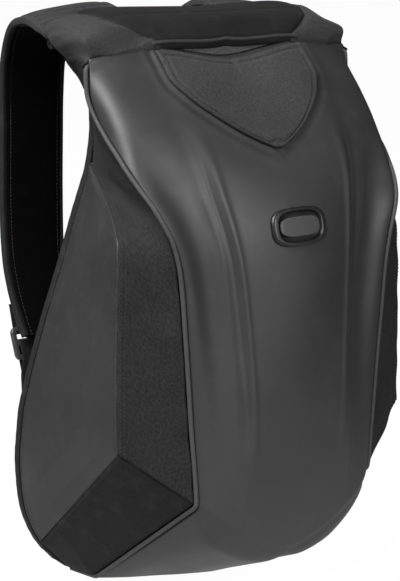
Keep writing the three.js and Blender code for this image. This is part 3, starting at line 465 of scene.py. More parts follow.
def solid_object(name, outer, inner, look, node, laid):
    """The closed solid between two grids, with a rim round their edges; UV in metres along the laid grid,
    the mean length across it and down it, is the same for both faces."""
    rows, columns = outer.shape[:2]
    count = rows * columns
    index = np.arange(count).reshape(rows, columns)
    rim = np.concatenate([index[0, :-1], index[:-1, -1], index[-1, :0:-1], index[:0:-1, 0]])
    after = np.roll(rim, -1)
    quads = np.concatenate([grid_quads(rows, columns), grid_quads(rows, columns, count)[:, ::-1],
                            np.stack([rim, after, after + count, rim + count], -1)])
    across, down = runs(laid)
    uv = np.stack([across - across[:, -1:] / 2, down], -1).reshape(-1, 2)
    points = np.concatenate([outer.reshape(-1, 3), inner.reshape(-1, 3)])
    return make_object(name, points, quads, look, node, uv=np.concatenate([uv, uv]))


def panel(name, rows, wall, look, node, cuts, relief=None, roll=(0.003, 0.001), square=False):
    """A cloth or plastic panel: the grid cut back at its edges, rolled in there, and given an inner face.
    The inner face lies along the normal, and along the line to the core at the edges unless square."""
    outer = trim(rows, *cuts)
    core = core_of(outer)
    normals = grid_normals(outer, core)
    if relief is not None:
        outer = outer + normals * relief(outer)[..., None]
    faced = rolled(outer, normals, *roll)
    inner = faced - normals * wall
    if not square:
        inward = unit(core - outer)
        stretch = np.maximum(-np.sum(normals * inward, -1, keepdims=True), 0.5)
        edge = np.zeros(outer.shape[:2], bool)
        edge[[0, -1]] = True
        edge[:, [0, -1]] = True
        inner = np.where(edge[..., None], faced + inward * wall / stretch, inner)
    return solid_object(name, faced, inner, look, node, outer), faced, normals


def panel_pair(stem, slot, rows, look, cuts, relief, stitch_stem, seams, thread, skip=0, roll=(0.003, 0.001)):
    """A cloth panel and its mirror image, each with stitches along its seams: (distance in, from the last column)."""
    for side, flip in SIDES:
        _, outer, normals = panel(f"{stem} {side}", rows * flip, CLOTH_WALL, look, f"{slot}_{side}", cuts,
                                  relief, roll)
        for number, (inset, last) in enumerate(seams):
            label = f"{stitch_stem} stitches {side}" + (f" {number}" if len(seams) > 1 else "")
            stitches(label, *line_inside(outer[skip:], normals[skip:], inset, last), thread, slot)


def path_frames(path, across, looped=False):
    """A given direction made square to a path, and the direction out of both."""
    onward = unit(np.roll(path, -1, 0) - np.roll(path, 1, 0) if looped else np.gradient(path, axis=0))
    across = np.broadcast_to(across, path.shape)
    wide = unit(across - onward * np.sum(across * onward, -1, keepdims=True))
    return wide, np.cross(onward, wide)


def swept(path, across, widths, depths, section, looped=False):
    """Rings of a section (w, h) carried along a path: w times width across, h times depth out of it."""
    wide, out = path_frames(path, across, looped)
    widths, depths = (np.broadcast_to(size, len(path))[:, None, None] for size in (widths, depths))
    return path[:, None] + wide[:, None] * section[:, :1] * widths + out[:, None] * section[:, 1:] * depths


def swept_object(name, rings, look, node=None, looped=False):
    """A closed body from rings: side quads, and an end fan to a middle point at each open end.
    UV in metres: the length round the ring, and the length along the rings' middles."""
    rows, columns = rings.shape[:2]
    points = rings.reshape(-1, 3)
    closed = np.concatenate([rings, rings[:, :1]], 1)
    run = lengths(rings.mean(1)[None])[0]
    uv = np.stack([lengths(closed)[:, :-1], np.broadcast_to(run[:, None], (rows, columns))], -1).reshape(-1, 2)
    if looped:
        index = np.arange(rows * columns).reshape(rows, columns)
        after = np.roll(index, -1, 0)
        quads = np.stack([index, after, np.roll(after, -1, 1), np.roll(index, -1, 1)], -1).reshape(-1, 4)
        return make_object(name, points, quads, look, node, uv=uv)
    j = np.arange(columns)
    k = (j + 1) % columns
    last = (rows - 1) * columns
    middle = np.full(columns, rows * columns)
    fans = np.concatenate([np.stack([middle, j, k], -1), np.stack([middle + 1, last + k, last + j], -1)])
    points = np.concatenate([points, [rings[0].mean(0), rings[-1].mean(0)]])
    return make_object(name, points, grid_quads(rows, columns, wrap=True), look, node, fans,
                       np.concatenate([uv, uv[:1], uv[-1:]]))


def stitches(name, path, normals, look, slot, lift=0.0):
    """A row of stitches: at even steps along a path, a small spindle of five-sided rings lying along it."""
    middle = resample(path, STITCH_PITCH)
    run = np.linspace(0, 1, len(path))
    at = np.linspace(0, 1, len(middle))
    up = unit(np.stack([np.interp(at, run, normals[:, k]) for k in range(3)], -1))
    onward = unit(np.gradient(middle, axis=0))
    shape = np.array([(-0.5, 0.0), (-0.42, 0.7), (0, 1), (0.42, 0.7), (0.5, 0.0)])
    sag = 0.8 * (1 - (2 * shape[:, :1]) ** 2)
    ring = circle(5)
    beside = shape[:, 1:] * ring[:, 0] * STITCH_RADIUS
    above = (shape[:, 1:] * ring[:, 1] + sag) * STITCH_RADIUS + lift
    ahead = shape[:, :1] * STITCH_LENGTH + 0 * beside
    parts = ((onward, ahead), (np.cross(up, onward), beside), (up, above))
    points = middle[:, None, None] + sum(way[:, None, None] * size[..., None] for way, size in parts)
    one = grid_quads(len(shape), len(ring), wrap=True)
    first = np.arange(len(middle)) * ahead.size
    make_object(name, points, (one + first[:, None, None]).reshape(-1, 4), look)


# ---- Materials ----

def shader_node(tree, kind, inputs, output=0, **settings):
    """A shader node with settings, and inputs that are plain values or sockets to link; returns one output,
    or all of them where output is None."""
    made = tree.nodes.new("ShaderNode" + kind)
    for label, value in settings.items():
        setattr(made, label, value)
    for label, value in inputs.items():
        if isinstance(value, bpy.types.NodeSocket):
            tree.links.new(value, made.inputs[label])
        else:
            made.inputs[label].default_value = value
    return made.outputs if output is None else made.outputs[output]


def calc(tree, operation, *values, clamp=False):
    return shader_node(tree, "Math", dict(enumerate(values)), operation=operation, use_clamp=clamp)


def noise(tree, vector, scale, detail, rough=0.5):
    return shader_node(tree, "TexNoise", {"Vector": vector, "Scale": scale, "Detail": detail, "Roughness": rough}, "Fac")


def ramp(tree, value, low, high, start=0.0, end=1.0):
    """The value mapped smoothly from low..high onto start..end."""
    inputs = {"Value": value, "From Min": low, "From Max": high, "To Min": start, "To Max": end}
    return shader_node(tree, "MapRange", inputs, "Result", interpolation_type="SMOOTHSTEP")


def node_group(name, inputs, outputs, build):
    """A shader node group: a vector and floats come in, and what build returns goes out, all floats."""
    group = bpy.data.node_groups.new(name, "ShaderNodeTree")
    for label in inputs:
        kind = "NodeSocketVector" if label == "Vector" else "NodeSocketFloat"
        group.interface.new_socket(label, in_out="INPUT", socket_type=kind)
    for label in outputs:
        group.interface.new_socket(label, in_out="OUTPUT", socket_type="NodeSocketFloat")
    start = group.nodes.new("NodeGroupInput")
    end = group.nodes.new("NodeGroupOutput")
    for label, socket in zip(outputs, build(group, *[start.outputs[label] for label in inputs])):
        group.links.new(socket, end.inputs[label])
    return group


def weave(tree, vector, threads):
    """Basket weave: threads rise where a chequer lets them over; height is the rise, tint the thread's shade."""
    scaled = shader_node(tree, "VectorMath", {0: vector, "Scale": threads}, operation="SCALE")
    wander = shader_node(tree, "TexNoise", {"Vector": scaled, "Scale": 0.8, "Detail": 2.0}, "Color")
    pulled = shader_node(tree, "VectorMath", {0: wander, 1: (1.1, 1.1, 0), 2: scaled}, operation="MULTIPLY_ADD")
    sides = shader_node(tree, "SeparateXYZ", {0: pulled}, None)[:2]
    first, second = (calc(tree, "ABSOLUTE", calc(tree, "SINE", calc(tree, "MULTIPLY", side, math.pi)))
                     for side in sides)
    cells = calc(tree, "ADD", *[calc(tree, "FLOOR", side) for side in sides])
    parity = calc(tree, "FLOORED_MODULO", cells, 2.0)
    over = calc(tree, "MULTIPLY", first, calc(tree, "SUBTRACT", 1.0, parity))
    height = calc(tree, "ADD", over, calc(tree, "MULTIPLY", second, parity))
    speckle = ramp(tree, noise(tree, scaled, 0.45, 2.0), 0.35, 0.65, 0.6, 1.4)
    return height, calc(tree, "MULTIPLY", height, speckle)


def grain(tree, vector, scale):
    """Fine moulded grain: small bumps broken up by a larger noise."""
    scaled = shader_node(tree, "VectorMath", {0: vector, "Scale": scale}, operation="SCALE")
    cells = shader_node(tree, "TexVoronoi", {"Vector": scaled, "Scale": 1.0}, "Distance")
    return [calc(tree, "MULTIPLY", cells, noise(tree, scaled, 0.6, 2.0))]


def handling(tree, vector):
    """Marks of use: cloudy shade, dust that lies in patches, and faint rubbed streaks; each from 0 to 1."""
    streaked = shader_node(tree, "VectorMath", {0: vector, 1: (260.0, 260.0, 18.0)}, operation="MULTIPLY")
    return (ramp(tree, noise(tree, vector, 11.0, 4.0, 0.55), 0.3, 0.7),
            ramp(tree, noise(tree, vector, 60.0, 5.0, 0.65), 0.5, 0.75),
            ramp(tree, noise(tree, streaked, 1.0, 2.0), 0.4, 0.9))


WEAVE = node_group("cloth weave", ("Vector", "Threads per metre"), ("Height", "Tint"), weave)
GRAIN = node_group("moulded grain", ("Vector", "Scale"), ("Height",), grain)
HANDLING = node_group("handling marks", ("Vector",), ("Cloud", "Dust", "Rubbing"), handling)
BLUE_SHARE = 1.03
DUST_COLOR = (0.22, 0.215, 0.21, 1)
# Width of the paler band along an edge: partly wear, partly a painted highlight.
PALE_EDGE_WIDTH = 0.006


def material(name, color, rough, cloth=None, grain=None, bump=0.2, bump_size=0.0003, cloud=0.25, dust=0.1,
             sheen=0.0, edge_wear_and_highlight=0.0, weave_shade=0.35, gloss=0.2):
    """A material with cloudy shade and dust from handling; woven at `cloth` threads per metre on the UV,
    or grained on object coordinates; paler within a few millimetres of an edge, partly as wear and partly as a painted
    highlight."""
    made = bpy.data.materials.new(name)
    made.use_nodes = True
    tree = made.node_tree
    tree.nodes.clear()
    at = shader_node(tree, "TexCoord", {}, None)
    marks = shader_node(tree, "Group", {"Vector": at["Object"]}, None, node_tree=HANDLING)
    shade = calc(tree, "MULTIPLY_ADD", marks["Cloud"], cloud, 1 - cloud / 2)
    height = None
    if cloth:
        height, tint = shader_node(tree, "Group", {"Vector": at["UV"], "Threads per metre": cloth}, None,
                                   node_tree=WEAVE)[:2]
        shade = calc(tree, "MULTIPLY", shade, calc(tree, "MULTIPLY_ADD", tint, 2 * weave_shade, 1 - weave_shade))
    elif grain:
        height = shader_node(tree, "Group", {"Vector": at["Object"], "Scale": grain}, node_tree=GRAIN)
    # Paler near an edge: partly wear, partly a painted highlight.
    if edge_wear_and_highlight:
        edge = shader_node(tree, "Attribute", {}, "Fac", attribute_name="edge")
        shade = calc(tree, "ADD", shade, ramp(tree, edge, 0.0, PALE_EDGE_WIDTH, edge_wear_and_highlight, 0.0))
    inputs = {"Factor": 1.0, "A": (color, color, color * BLUE_SHARE, 1), "B": shade}
    inputs = {"A": shader_node(tree, "Mix", inputs, "Result", data_type="RGBA", blend_type="MULTIPLY"),
              "B": DUST_COLOR, "Factor": calc(tree, "MULTIPLY", marks["Dust"], dust * 0.3)}
    inputs = {"Base Color": shader_node(tree, "Mix", inputs, "Result", data_type="RGBA"),
              "Specular IOR Level": gloss, "Sheen Weight": sheen, "Sheen Roughness": 0.45}
    clouded = calc(tree, "MULTIPLY_ADD", marks["Cloud"], 0.12, rough - 0.06)
    rubbed = calc(tree, "MULTIPLY", marks["Rubbing"], 0.03)
    inputs["Roughness"] = calc(tree, "SUBTRACT", clouded, rubbed, clamp=True)
    if height is not None:
        inputs["Normal"] = shader_node(tree, "Bump", {"Strength": bump, "Distance": bump_size, "Height": height})
    shader_node(tree, "OutputMaterial", {"Surface": shader_node(tree, "BsdfPrincipled", inputs)}, None)
    return made


# The shell's edges are paler: partly wear, partly a painted highlight.
SHELL_LOOK = material("satin moulded shell", 0.022, 0.56, grain=1400, cloud=0.1, edge_wear_and_highlight=0.1, gloss=0.6)
PANEL_LOOK = material("coated side cloth", 0.026, 0.5, 900, bump=0.12, cloud=0.12, dust=0.12, weave_shade=0.08,
                      gloss=0.3)
WEAVE_LOOK = material("dark woven cloth", 0.019, 0.8, 850, bump=0.6, dust=0.08, weave_shade=0.5, gloss=0.1)
FLAP_LOOK = material("woven flap cloth", 0.027, 0.7, 850, bump=0.6, sheen=0.04, weave_shade=0.45)
INSERT_LOOK = material("grey insert cloth", 0.06, 0.7, 700, bump=0.6, sheen=0.06, dust=0.2)
DARK_LOOK = material("black cloth", 0.009, 0.8, 700, bump=0.4, sheen=0.02, dust=0.2)
YOKE_LOOK = material("black padded cloth", 0.007, 0.65, 850, bump=0.35, sheen=0.02, dust=0.08)
WING_LOOK = material("woven wing cloth", 0.024, 0.7, 850, bump=0.6, sheen=0.04, weave_shade=0.45)
PIPING_LOOK = material("grey piping", 0.055, 0.5, 1500, bump=0.3, cloud=0.1, weave_shade=0.15)
COLLAR_LOOK = material("collar roll", 0.035, 0.5, 1500, bump=0.3, cloud=0.1, weave_shade=0.15)
STRAP_LOOK = material("strap cloth", 0.002, 0.75, 850, bump=0.4, sheen=0.005, dust=0.03, gloss=0.05)
MESH_LOOK = material("air mesh", 0.009, 0.9, 420, bump=1.0, bump_size=0.0008, sheen=0.04, dust=0.25, gloss=0.1)
TAPE_LOOK = material("edging tape", 0.009, 0.7, 900, bump=0.5, sheen=0.04, dust=0.15)
WEBBING_LOOK = material("ribbed webbing", 0.01, 0.65, 700, bump=0.9, bump_size=0.0005, sheen=0.03, dust=0.15)
PLASTIC_LOOK = material("black moulded plastic", 0.01, 0.4, grain=1800, bump=0.15, cloud=0.1, dust=0.15, gloss=0.5)
# The locks' plastic is a lighter grey than the black plastic: a painted highlight.
HIGHLIGHT_GREY_LOCK_LOOK = material("moulded plastic greyed as painted highlight", 0.05, 0.3, grain=1800, bump=0.15, cloud=0.1, gloss=0.6)
PLATE_LOOK = material("satin grey plate", 0.06, 0.45, grain=3000, bump=0.08, cloud=0.1, gloss=0.3)
THREAD_LOOK = material("dark thread", 0.035, 0.6, cloud=0.1)
PALE_THREAD_LOOK = material("grey thread", 0.03, 0.6, cloud=0.1)


# ---- Body ----

def build_shell():
    """The shell: its front rails, its underside, ridges, valleys and hollows that fade at both ends, a sharp
    crease where the underside begins, and a recess round the flap."""
    t = steps((0, 1, 80))
    u = np.linspace(-1, 1, 80 * FINE + 1)
    s = steps((0, 1, 24), (1, 2, 14))[1:]
    under = len(t) + 2 * FINE
    away = np.abs(u)[None]
    rows = soften(np.concatenate([shell_point(u[None], t[:, None]), shell_under(u[None], s[:, None])]), FINE)
    corners = fade(t, 0.6, 0.4)[:, None] * fade(away, 0.4, 0.55)
    eased = soften(rows, CORNER_PASSES * FINE ** 2, 1)[:len(t)]
    rows[:len(t)] = mix(rows[:len(t)], eased, corners[..., None])
    rows[under:] = soften(rows[under:], UNDER_PASSES * FINE ** 2, 1)
    rows[..., 2] = np.maximum(rows[..., 2], 0)
    corner = len(t) + 1
    t = np.concatenate([[0, 0], t, np.ones(len(s))])[:, None]

    def relief(outer):
        ridges = RIDGE_LIFT * bell(away, 0.375, 0.024) - VALLEY_DROP * bell(away, 0.425, 0.016)
        hollow = HOLLOW_DROP * bell(away, 0.66, 0.16)
        run = runs(outer)[1]
        crease = CREASE_DROP * bell(run - run[corner], 0, 0.004) * fade(away, 1, 0.9)
        return flap_recess(outer) + fade(t, 0.16, 0.28) * fade(t, 0.9, 0.55) * (ridges - hollow) - crease

    piece, outer, _ = panel("shell", tucked(rows, 0.0035, 0.004), SHELL_WALL, SHELL_LOOK, "shell",
                            (PIPING_ROOM, PIPING_ROOM, GAP / 2, GAP), relief, (0.0025, 0.001))
    # Each vertex's distance from the edges, for the paler edges that are partly wear and partly a painted highlight;
    # both faces get the same.
    values = np.resize(edge_distance(outer).ravel(), len(piece.data.vertices)).astype(np.float32)
    piece.data.attributes.new("edge", "FLOAT", "POINT").data.foreach_set("value", values)


def flap_recess(outer, block=40):
    """A shallow recess that the flap lies in, its rim some millimetres outside the flap's outline."""
    b = np.linspace(0, 1, 70)
    outline = np.concatenate([flap_point(1, b)[0], flap_point(-1, b)[0][::-1]])
    near = np.concatenate([np.linalg.norm(outer[start:start + block, :, None] - outline, axis=-1).min(2)
                           for start in range(0, len(outer), block)])
    return 0.0004 * bell(near, 0.0115, 0.0025) - 0.0014 * bell(near, 0.005, 0.003)


def beside_binding(x, d, z):
    return place(x, d + (BINDING_DEPTH + GAP) / DEPTH, z)


# The front gusset's rear rail: above the side panel's seam it runs beside the back edge's binding.
GUSSET_RAIL = BACK_RAIL[BACK_RAIL[:, 0] > SEAM_RAIL[0, 0] + 0.02] + [0, 0, (BINDING_DEPTH + GAP) / DEPTH]
GUSSET_RAIL = np.concatenate([GUSSET_RAIL, SEAM_RAIL])
SEAM_START, SEAM_ELBOW = ((GUSSET_RAIL[0, 0] - z) / (GUSSET_RAIL[0, 0] - GUSSET_RAIL[-1, 0])
                          for z in (SEAM_RAIL[0, 0], ELBOW_SEAM_Z))
FOLD_FRONT = place(*along(GUSSET_RAIL, 1.0))
FOLD_BACK = beside_binding(*along(BACK_RAIL, 1.0))


def build_front_gussets():
    """Straight across from the shell's edge rail to the rear rail, swollen as a parabola, with slow ripples
    and short gathers that die away from both seams."""
    t = steps((0, SEAM_START, 40), (SEAM_START, 1, 70))
    front = place(*along(EDGE_RAIL, t))[:, None]
    rear = place(*along(GUSSET_RAIL, t))[:, None]
    ripple = waves(11, 7, 0.03, 0.09)
    gather = waves(12, 5, 0.012, 0.03)

    def relief(outer):
        across, down = runs(outer)
        width = across[:, -1:]
        pillow = 0.02 * width * (1 - (2 * across / width - 1) ** 2)
        seam = (np.exp(-across / 0.006) + np.exp(-(width - across) / 0.006)) * gather(across * 0.2, down)
        return pillow + 0.0006 * ripple(across, down) * np.minimum(width / 0.06, 1) + 0.00025 * seam

    rows = tucked(mix(front, rear, steps((0, 1, 19))[None, :, None]), 0.0035, 0.004)
    panel_pair("front gusset", "front_gusset", rows, WEAVE_LOOK, (PIPING_ROOM, GAP, 3 * GAP, GAP), relief, "gusset",
               ((0.0035, True), (0.0075, True), (0.0035, False)), PALE_THREAD_LOOK, skip=3)


def build_side_panels():
    """Straight from the seam to the crease, then straight to the back edge, and below the elbow straight down
    to the fold; raised to flat facets that meet at the crease, with slow dents."""
    t = steps((SEAM_START, SEAM_ELBOW, 60))
    share = (t - SEAM_START) / (SEAM_ELBOW - SEAM_START)
    u = steps((0, CREASE_U, 12), (CREASE_U, 1, 28))
    seam = place(*along(GUSSET_RAIL, t))[:, None]
    crease = place(*along(CREASE_RAIL, share))[:, None]
    back_z = mix(CREASE_RAIL[0, 0], ELBOW_BACK_Z, share)
    back = beside_binding(*rail_at(BACK_RAIL, back_z), back_z)[:, None]
    far = fade(u, CREASE_U, 1)[:, None]
    upper = mix(mix(seam, crease, fade(u, 0, CREASE_U)[:, None]), back, far)
    fold = np.interp(u, [0, 0.15, 0.3, 0.53, 0.77, 1], [0, 0.12, FOLD_AT_CREASE, 0.5, 0.75, 1])
    down = steps((0, 1, 40))[1:]
    below = mix(upper[-1:], mix(FOLD_FRONT, FOLD_BACK, fold[:, None])[None], down[:, None, None])
    # The back edge of the lower part keeps to the back rail, and the cloth beside it follows.
    edge_z = mix(ELBOW_BACK_Z, BACK_RAIL[-1, 0], down)
    strayed = beside_binding(*rail_at(BACK_RAIL, edge_z), edge_z) - below[:, -1]
    rows = soften(np.concatenate([upper, below + strayed[:, None] * far ** 2]), FINE)
    rows = soften(rows, FINE, 1)
    level = np.linspace(0, 1, len(rows))[:, None]
    elbow = (60 * FINE - 1) / (len(rows) - 1)
    beside = np.maximum(fade(u, 1, CREASE_U), fade(np.abs(level - elbow), 0.12, 0))
    ends = np.minimum(3 * np.minimum(level / elbow, (1 - level) / (1 - elbow)), 1) * np.minimum(1, 4 * (1 - u))
    facets = np.minimum(fade(u, 0, CREASE_U), beside) * ends
    dents = waves(21, 6, 0.05, 0.16)

    def relief(outer):
        inset = fade(edge_distance(outer), 0, 0.02)
        return 0.0005 * dents(*runs(outer)) * inset + 0.001 * inset + FACET_LIFT * facets

    panel_pair("side panel", "side_panel", rows, PANEL_LOOK, (2 * GAP, 0, GAP, GAP), relief, "side",
               ((0.004, False), (0.0045, True)), THREAD_LOOK, roll=(0.0035, 0.0012))


def build_bottom_gussets():
    """Straight across from the piping under the shell to the fold, with slow ripples."""
    s = steps((0, 1, 50), (1, 2, 20))
    share = np.interp(s, [0, 1, 2], [0, FOLD_BEND, 1])
    fold = mix(FOLD_FRONT, FOLD_BACK, share[:, None])[:, None]
    rows = mix(shell_under(np.ones_like(s), s)[:, None], fold, steps((0, 1, 15))[None, :, None])
    ripple = waves(31, 6, 0.03, 0.08)

    def relief(outer):
        return 0.0005 * ripple(*runs(outer)) * fade(edge_distance(outer), 0, 0.012)

    panel_pair("bottom gusset", "bottom_gusset", rows, DARK_LOOK, (PIPING_ROOM + GAP, GAP, GAP, 0), relief, "bottom",
               ((0.0035, True),), THREAD_LOOK)


def build_piping():
    """Along the shell's side edge and on under it, kept a radius above the floor; its start is tucked in."""
    s = np.linspace(0, 2, 120)[1:]
    edge = place(*along(EDGE_RAIL, np.linspace(0.012, 1, 220)))
    path = np.concatenate([edge, shell_under(np.ones_like(s), s)])
    path[:, 2] = np.maximum(path[:, 2], PIPING_RADIUS)
    path = soften(np.concatenate([path[:1] + [-0.005, 0.003, 0.001], path]), 3)
    away = unit(path - core_of(path))
    for side, flip in SIDES:
        rings = swept(path * flip, away * flip, PIPING_RADIUS, PIPING_RADIUS, circle(14))
        swept_object(f"piping {side}", rings, PIPING_LOOK, f"piping_{side}")


# ---- Yoke, collar and flap ----

def collar_edge(u, drop):
    """A distance below the yoke's front edge, which stands above the shell by a rise that falls with |u|."""
    point = shell_point(u, 0.0)
    rise = np.interp(np.abs(u), [0, RIDGE_U, COLLAR_FADE_U], [COLLAR_RISE, COLLAR_END_RISE, 0])
    point[..., 2] += rise - drop
    return point


def yoke_point(u, r):
    """Across the yoke, a smooth curve from the collar over the rise and the crest to the back edge."""
    u, r = np.broadcast_arrays(np.asarray(u, float), np.asarray(r, float))
    knots = [collar_edge(u, 0.0)]
    for table in (YOKE_RISE, YOKE_CREST, YOKE_BACK):
        z, x, d = (read(table, np.abs(u), k) for k in (1, 2, 3))
        knots.append(place(x * np.sign(u), d, z))
    knots = np.array(knots)
    return np.stack([hermite(YOKE_KNOTS, knots[..., k], r) for k in range(3)], -1)


def build_yoke():
    """The yoke's surface with a groove along the seam to its wings, padding on both sides of the groove,
    puckers that die away from it, and gathers, as a bent sine wave across, towards the back of the wings."""
    u = np.linspace(-1, 1, 115 * FINE + 1)
    r = steps((0, 1, 50))
    rows = yoke_point(u[None], r[:, None])
    # A seam allowance turns down from the back edge, inside the back panel's binding.
    hem = rows[-1:] + np.array([[[0, -0.003, -0.0015]], [[0, -0.004, -0.006]], [[0, -0.004, -0.014]]])
    hem[2, :, 2] = np.minimum(hem[2, :, 2], 0.472)
    share = np.maximum(fade(np.abs(u), 0.9, 0.78), 0.12)[None, :, None]
    rows = np.concatenate([rows, mix(rows[-1:], hem, share)])
    front = mix(rows[:1], tucked(rows, 0.0045, 0.006)[:2], share ** 2)
    ends = tucked(np.concatenate([front, rows]).transpose(1, 0, 2), 0.003, 0.008)
    rows = tucked(ends[::-1], 0.003, 0.008)[::-1].transpose(1, 0, 2)
    folds = waves(41, 6, 0.018, 0.05)
    soft = waves(42, 5, 0.06, 0.15)
    u = np.concatenate([[-1, -1], u, [1, 1]])
    r = np.concatenate([[0, 0], r, [1, 1, 1]])[:, None] + 0 * u
    beyond = (np.abs(u) - read(YOKE_SEAM, r)) * HALF_WIDTH

    def relief(outer):
        across, down = runs(outer)
        pad = 0.0016 * np.tanh(np.abs(beyond) / 0.008) - 0.0012 * bell(beyond, 0, 0.0016)
        pucker = 0.0016 * np.exp(-np.maximum(beyond, 0) / 0.02) * (beyond > 0) * folds(0.35 * across, down)
        wing = fade(beyond, 0, 0.012)
        bent = np.sin(2 * np.pi * across / GATHER_PITCH + 1.5 * folds(across, 0 * down))
        gathers = 0.0009 * bent * bell(r, 0.78, 0.16) * wing
        line = 0.0007 * bell(r, 0.46, 0.015) * (beyond < 0)
        shape = pad + pucker + 0.0014 * wing * soft(across, down) + gathers - line
        return shape * fade(edge_distance(outer), 0, 0.01)

    piece, outer, normals = panel("yoke", rows, YOKE_WALL, YOKE_LOOK, "yoke",
                                  (3 * GAP, 3 * GAP, 2 * GAP, GAP), relief, (0.003, 0.0012), square=True)
    second_look(piece, WING_LOOK, np.tile((beyond > 0)[:-1, :-1].ravel(), 2))
    at_r = np.linspace(0.03, 0.97, 120)
    at_u = read(YOKE_SEAM, at_r) + 0.022
    for side, flip in SIDES:
        j = 2 + (flip[0] * at_u + 1) / 2 * (len(u) - 5)
        path, normal = sample(2 + at_r * (len(r) - 6), j, outer, normals)
        stitches(f"yoke seam stitches {side}", path, unit(normal), THREAD_LOOK, "yoke", lift=0.0001)


def build_collar():
    """The rolled piping under the yoke's front edge, and the gusset straight up from the shell to it."""
    path = collar_edge(np.linspace(-RIDGE_U, RIDGE_U, 160), COLLAR_DROP)
    rings = swept(path, np.array([0.0, 0.0, 1.0]), PIPING_RADIUS, PIPING_RADIUS, circle(14))
    swept_object("collar piping", rings, COLLAR_LOOK, "collar_piping")
    across = steps((-TOP_GUSSET_U, TOP_GUSSET_U, 70))
    up = steps((0, 1, 16))[:, None, None]
    rows = mix(shell_point(across, 0.0)[None], collar_edge(across, 2 * COLLAR_DROP)[None], up)
    panel("top gusset", rows, CLOTH_WALL, INSERT_LOOK, "top_gusset", (GAP, GAP, GAP, 0),
          roll=(0.0015, 0.0008), square=True)


def flap_point(a, b):
    """The shell under the flap, with its u and t: a from -1 to 1 across, b from the flap's top to its tip."""
    u = a * read(FLAP_OUTLINE, b)
    t = mix(FLAP_TOP_T, FLAP_TIP_T, b)
    return shell_point(u, t), u, t


def build_flap():
    """The flap lies on the shell: full thickness less a stitched groove near its edge, a notch at the middle
    of its top and a quarter circle at its rim."""
    a, b = np.meshgrid(np.linspace(-1, 1, 64 * FINE + 1), steps((0, 1, 48)))
    base, u, t = flap_point(a, b)
    normals = shell_normal(u, t)
    away = edge_distance(base)
    height = FLAP_LIFT + FLAP_WALL * (1 - 0.45 * bell(away, 0.0065, 0.0012))
    height -= 0.0016 * bell(a, 0, 0.03) * fade(b, 0.17, 0.07)
    height -= 0.0014 * (1 - np.sqrt(1 - fade(away, 0.0018, 0) ** 2))
    outer = base + normals * height[..., None]
    solid_object("flap", outer, base + normals * FLAP_LIFT, FLAP_LOOK, "flap", outer)
    # Stitches at one distance inside the sides, from the top corners round the tip.
    b = np.linspace(0.02, 0.975, 90)
    width = np.linalg.norm(flap_point(1, b)[0] - flap_point(0, b)[0], axis=-1)
    slope = np.gradient(width, b * (FLAP_TIP_T - FLAP_TOP_T) * 0.4)
    share = 1 - FLAP_STITCH_INSET * np.sqrt(1 + slope ** 2) / width
    b, share = b[share > 0.03], share[share > 0.03]
    rim, u, t = flap_point(np.concatenate([share, -share[::-1]]), np.concatenate([b, b[::-1]]))
    normal = shell_normal(u, t)
    stitches("flap stitches", rim + normal * (FLAP_LIFT + FLAP_WALL), normal, THREAD_LOOK, "flap")


# ---- Badge ----

def badge_shares(x, up):
    """The shell's u and t at distances across and up from the badge's middle, found in a few tries."""
    middle = shell_point(0.0, BADGE_T)
    below = shell_point(0.0, BADGE_T + BADGE_STEP)
    across = shell_point(BADGE_STEP, BADGE_T)[0] / BADGE_STEP
    drop = (middle[2] - below[2]) / BADGE_STEP
    z = middle[2] + up * (middle[2] - below[2]) / np.linalg.norm(middle - below)
    u = 0 * x
    t = BADGE_T + 0 * x
    for _ in range(6):
        point = shell_point(u, t)
        u = u + (x - point[..., 0]) / across
        t = t + (point[..., 2] - z) / drop
    return u, t


def badge_rings(rows, size):
    """Superellipse rings (share of size, height over the shell) laid on the shell round the badge's middle."""
    round_it = circle(96, BADGE_SQUARENESS)
    lower = 1 - (1 - size) * (BADGE_HALF_WIDTH / BADGE_HALF_HEIGHT)
    share = rows[:, :1]
    u, t = badge_shares(share * size * BADGE_HALF_WIDTH * round_it[:, 0],
                        share * BADGE_HALF_HEIGHT * lower * round_it[:, 1])
    return shell_point(u, t) + shell_normal(u, t) * rows[:, 1:][..., None]


def smooth_profile(rows, count):
    """A profile through points, redone with even steps and slightly rounded corners."""
    run = lengths((rows * [[0.03, 1]])[None])[0]
    at = np.linspace(0, run[-1], count)
    return soften(np.stack([np.interp(at, run, rows[:, k]) for k in range(2)], -1), 2)


def build_badge():
    """A bezel and a plate of superellipse rings, each closed by smaller rings underneath."""
    rings = badge_rings(np.concatenate([smooth_profile(BEZEL_ROWS, 44), [(0.5, 0.0004)]]), 1.0)
    swept_object("badge bezel", rings, PLASTIC_LOOK, "badge_bezel")
    rows = np.concatenate([smooth_profile(PLATE_ROWS, 40), [(0.9, 0.0017), (0.4, 0.0017)]])
    swept_object("badge plate", badge_rings(rows, BADGE_PLATE_SHARE), PLATE_LOOK, "badge_plate")


# ---- Back panel and binding ----

OUTLINE = place(*along(OUTLINE_RAIL, np.linspace(0, 1, 241)))


def inset_half(z, inset):
    """Half the width left at heights z when the back's outline is moved inwards by the given distance."""
    away = OUTLINE[None, :, 2] - z[:, None]
    reach = OUTLINE[None, :, 0] - np.sqrt(np.maximum(inset ** 2 - away ** 2, 0))
    return np.where(np.abs(away) < inset, reach, np.inf).min(1)


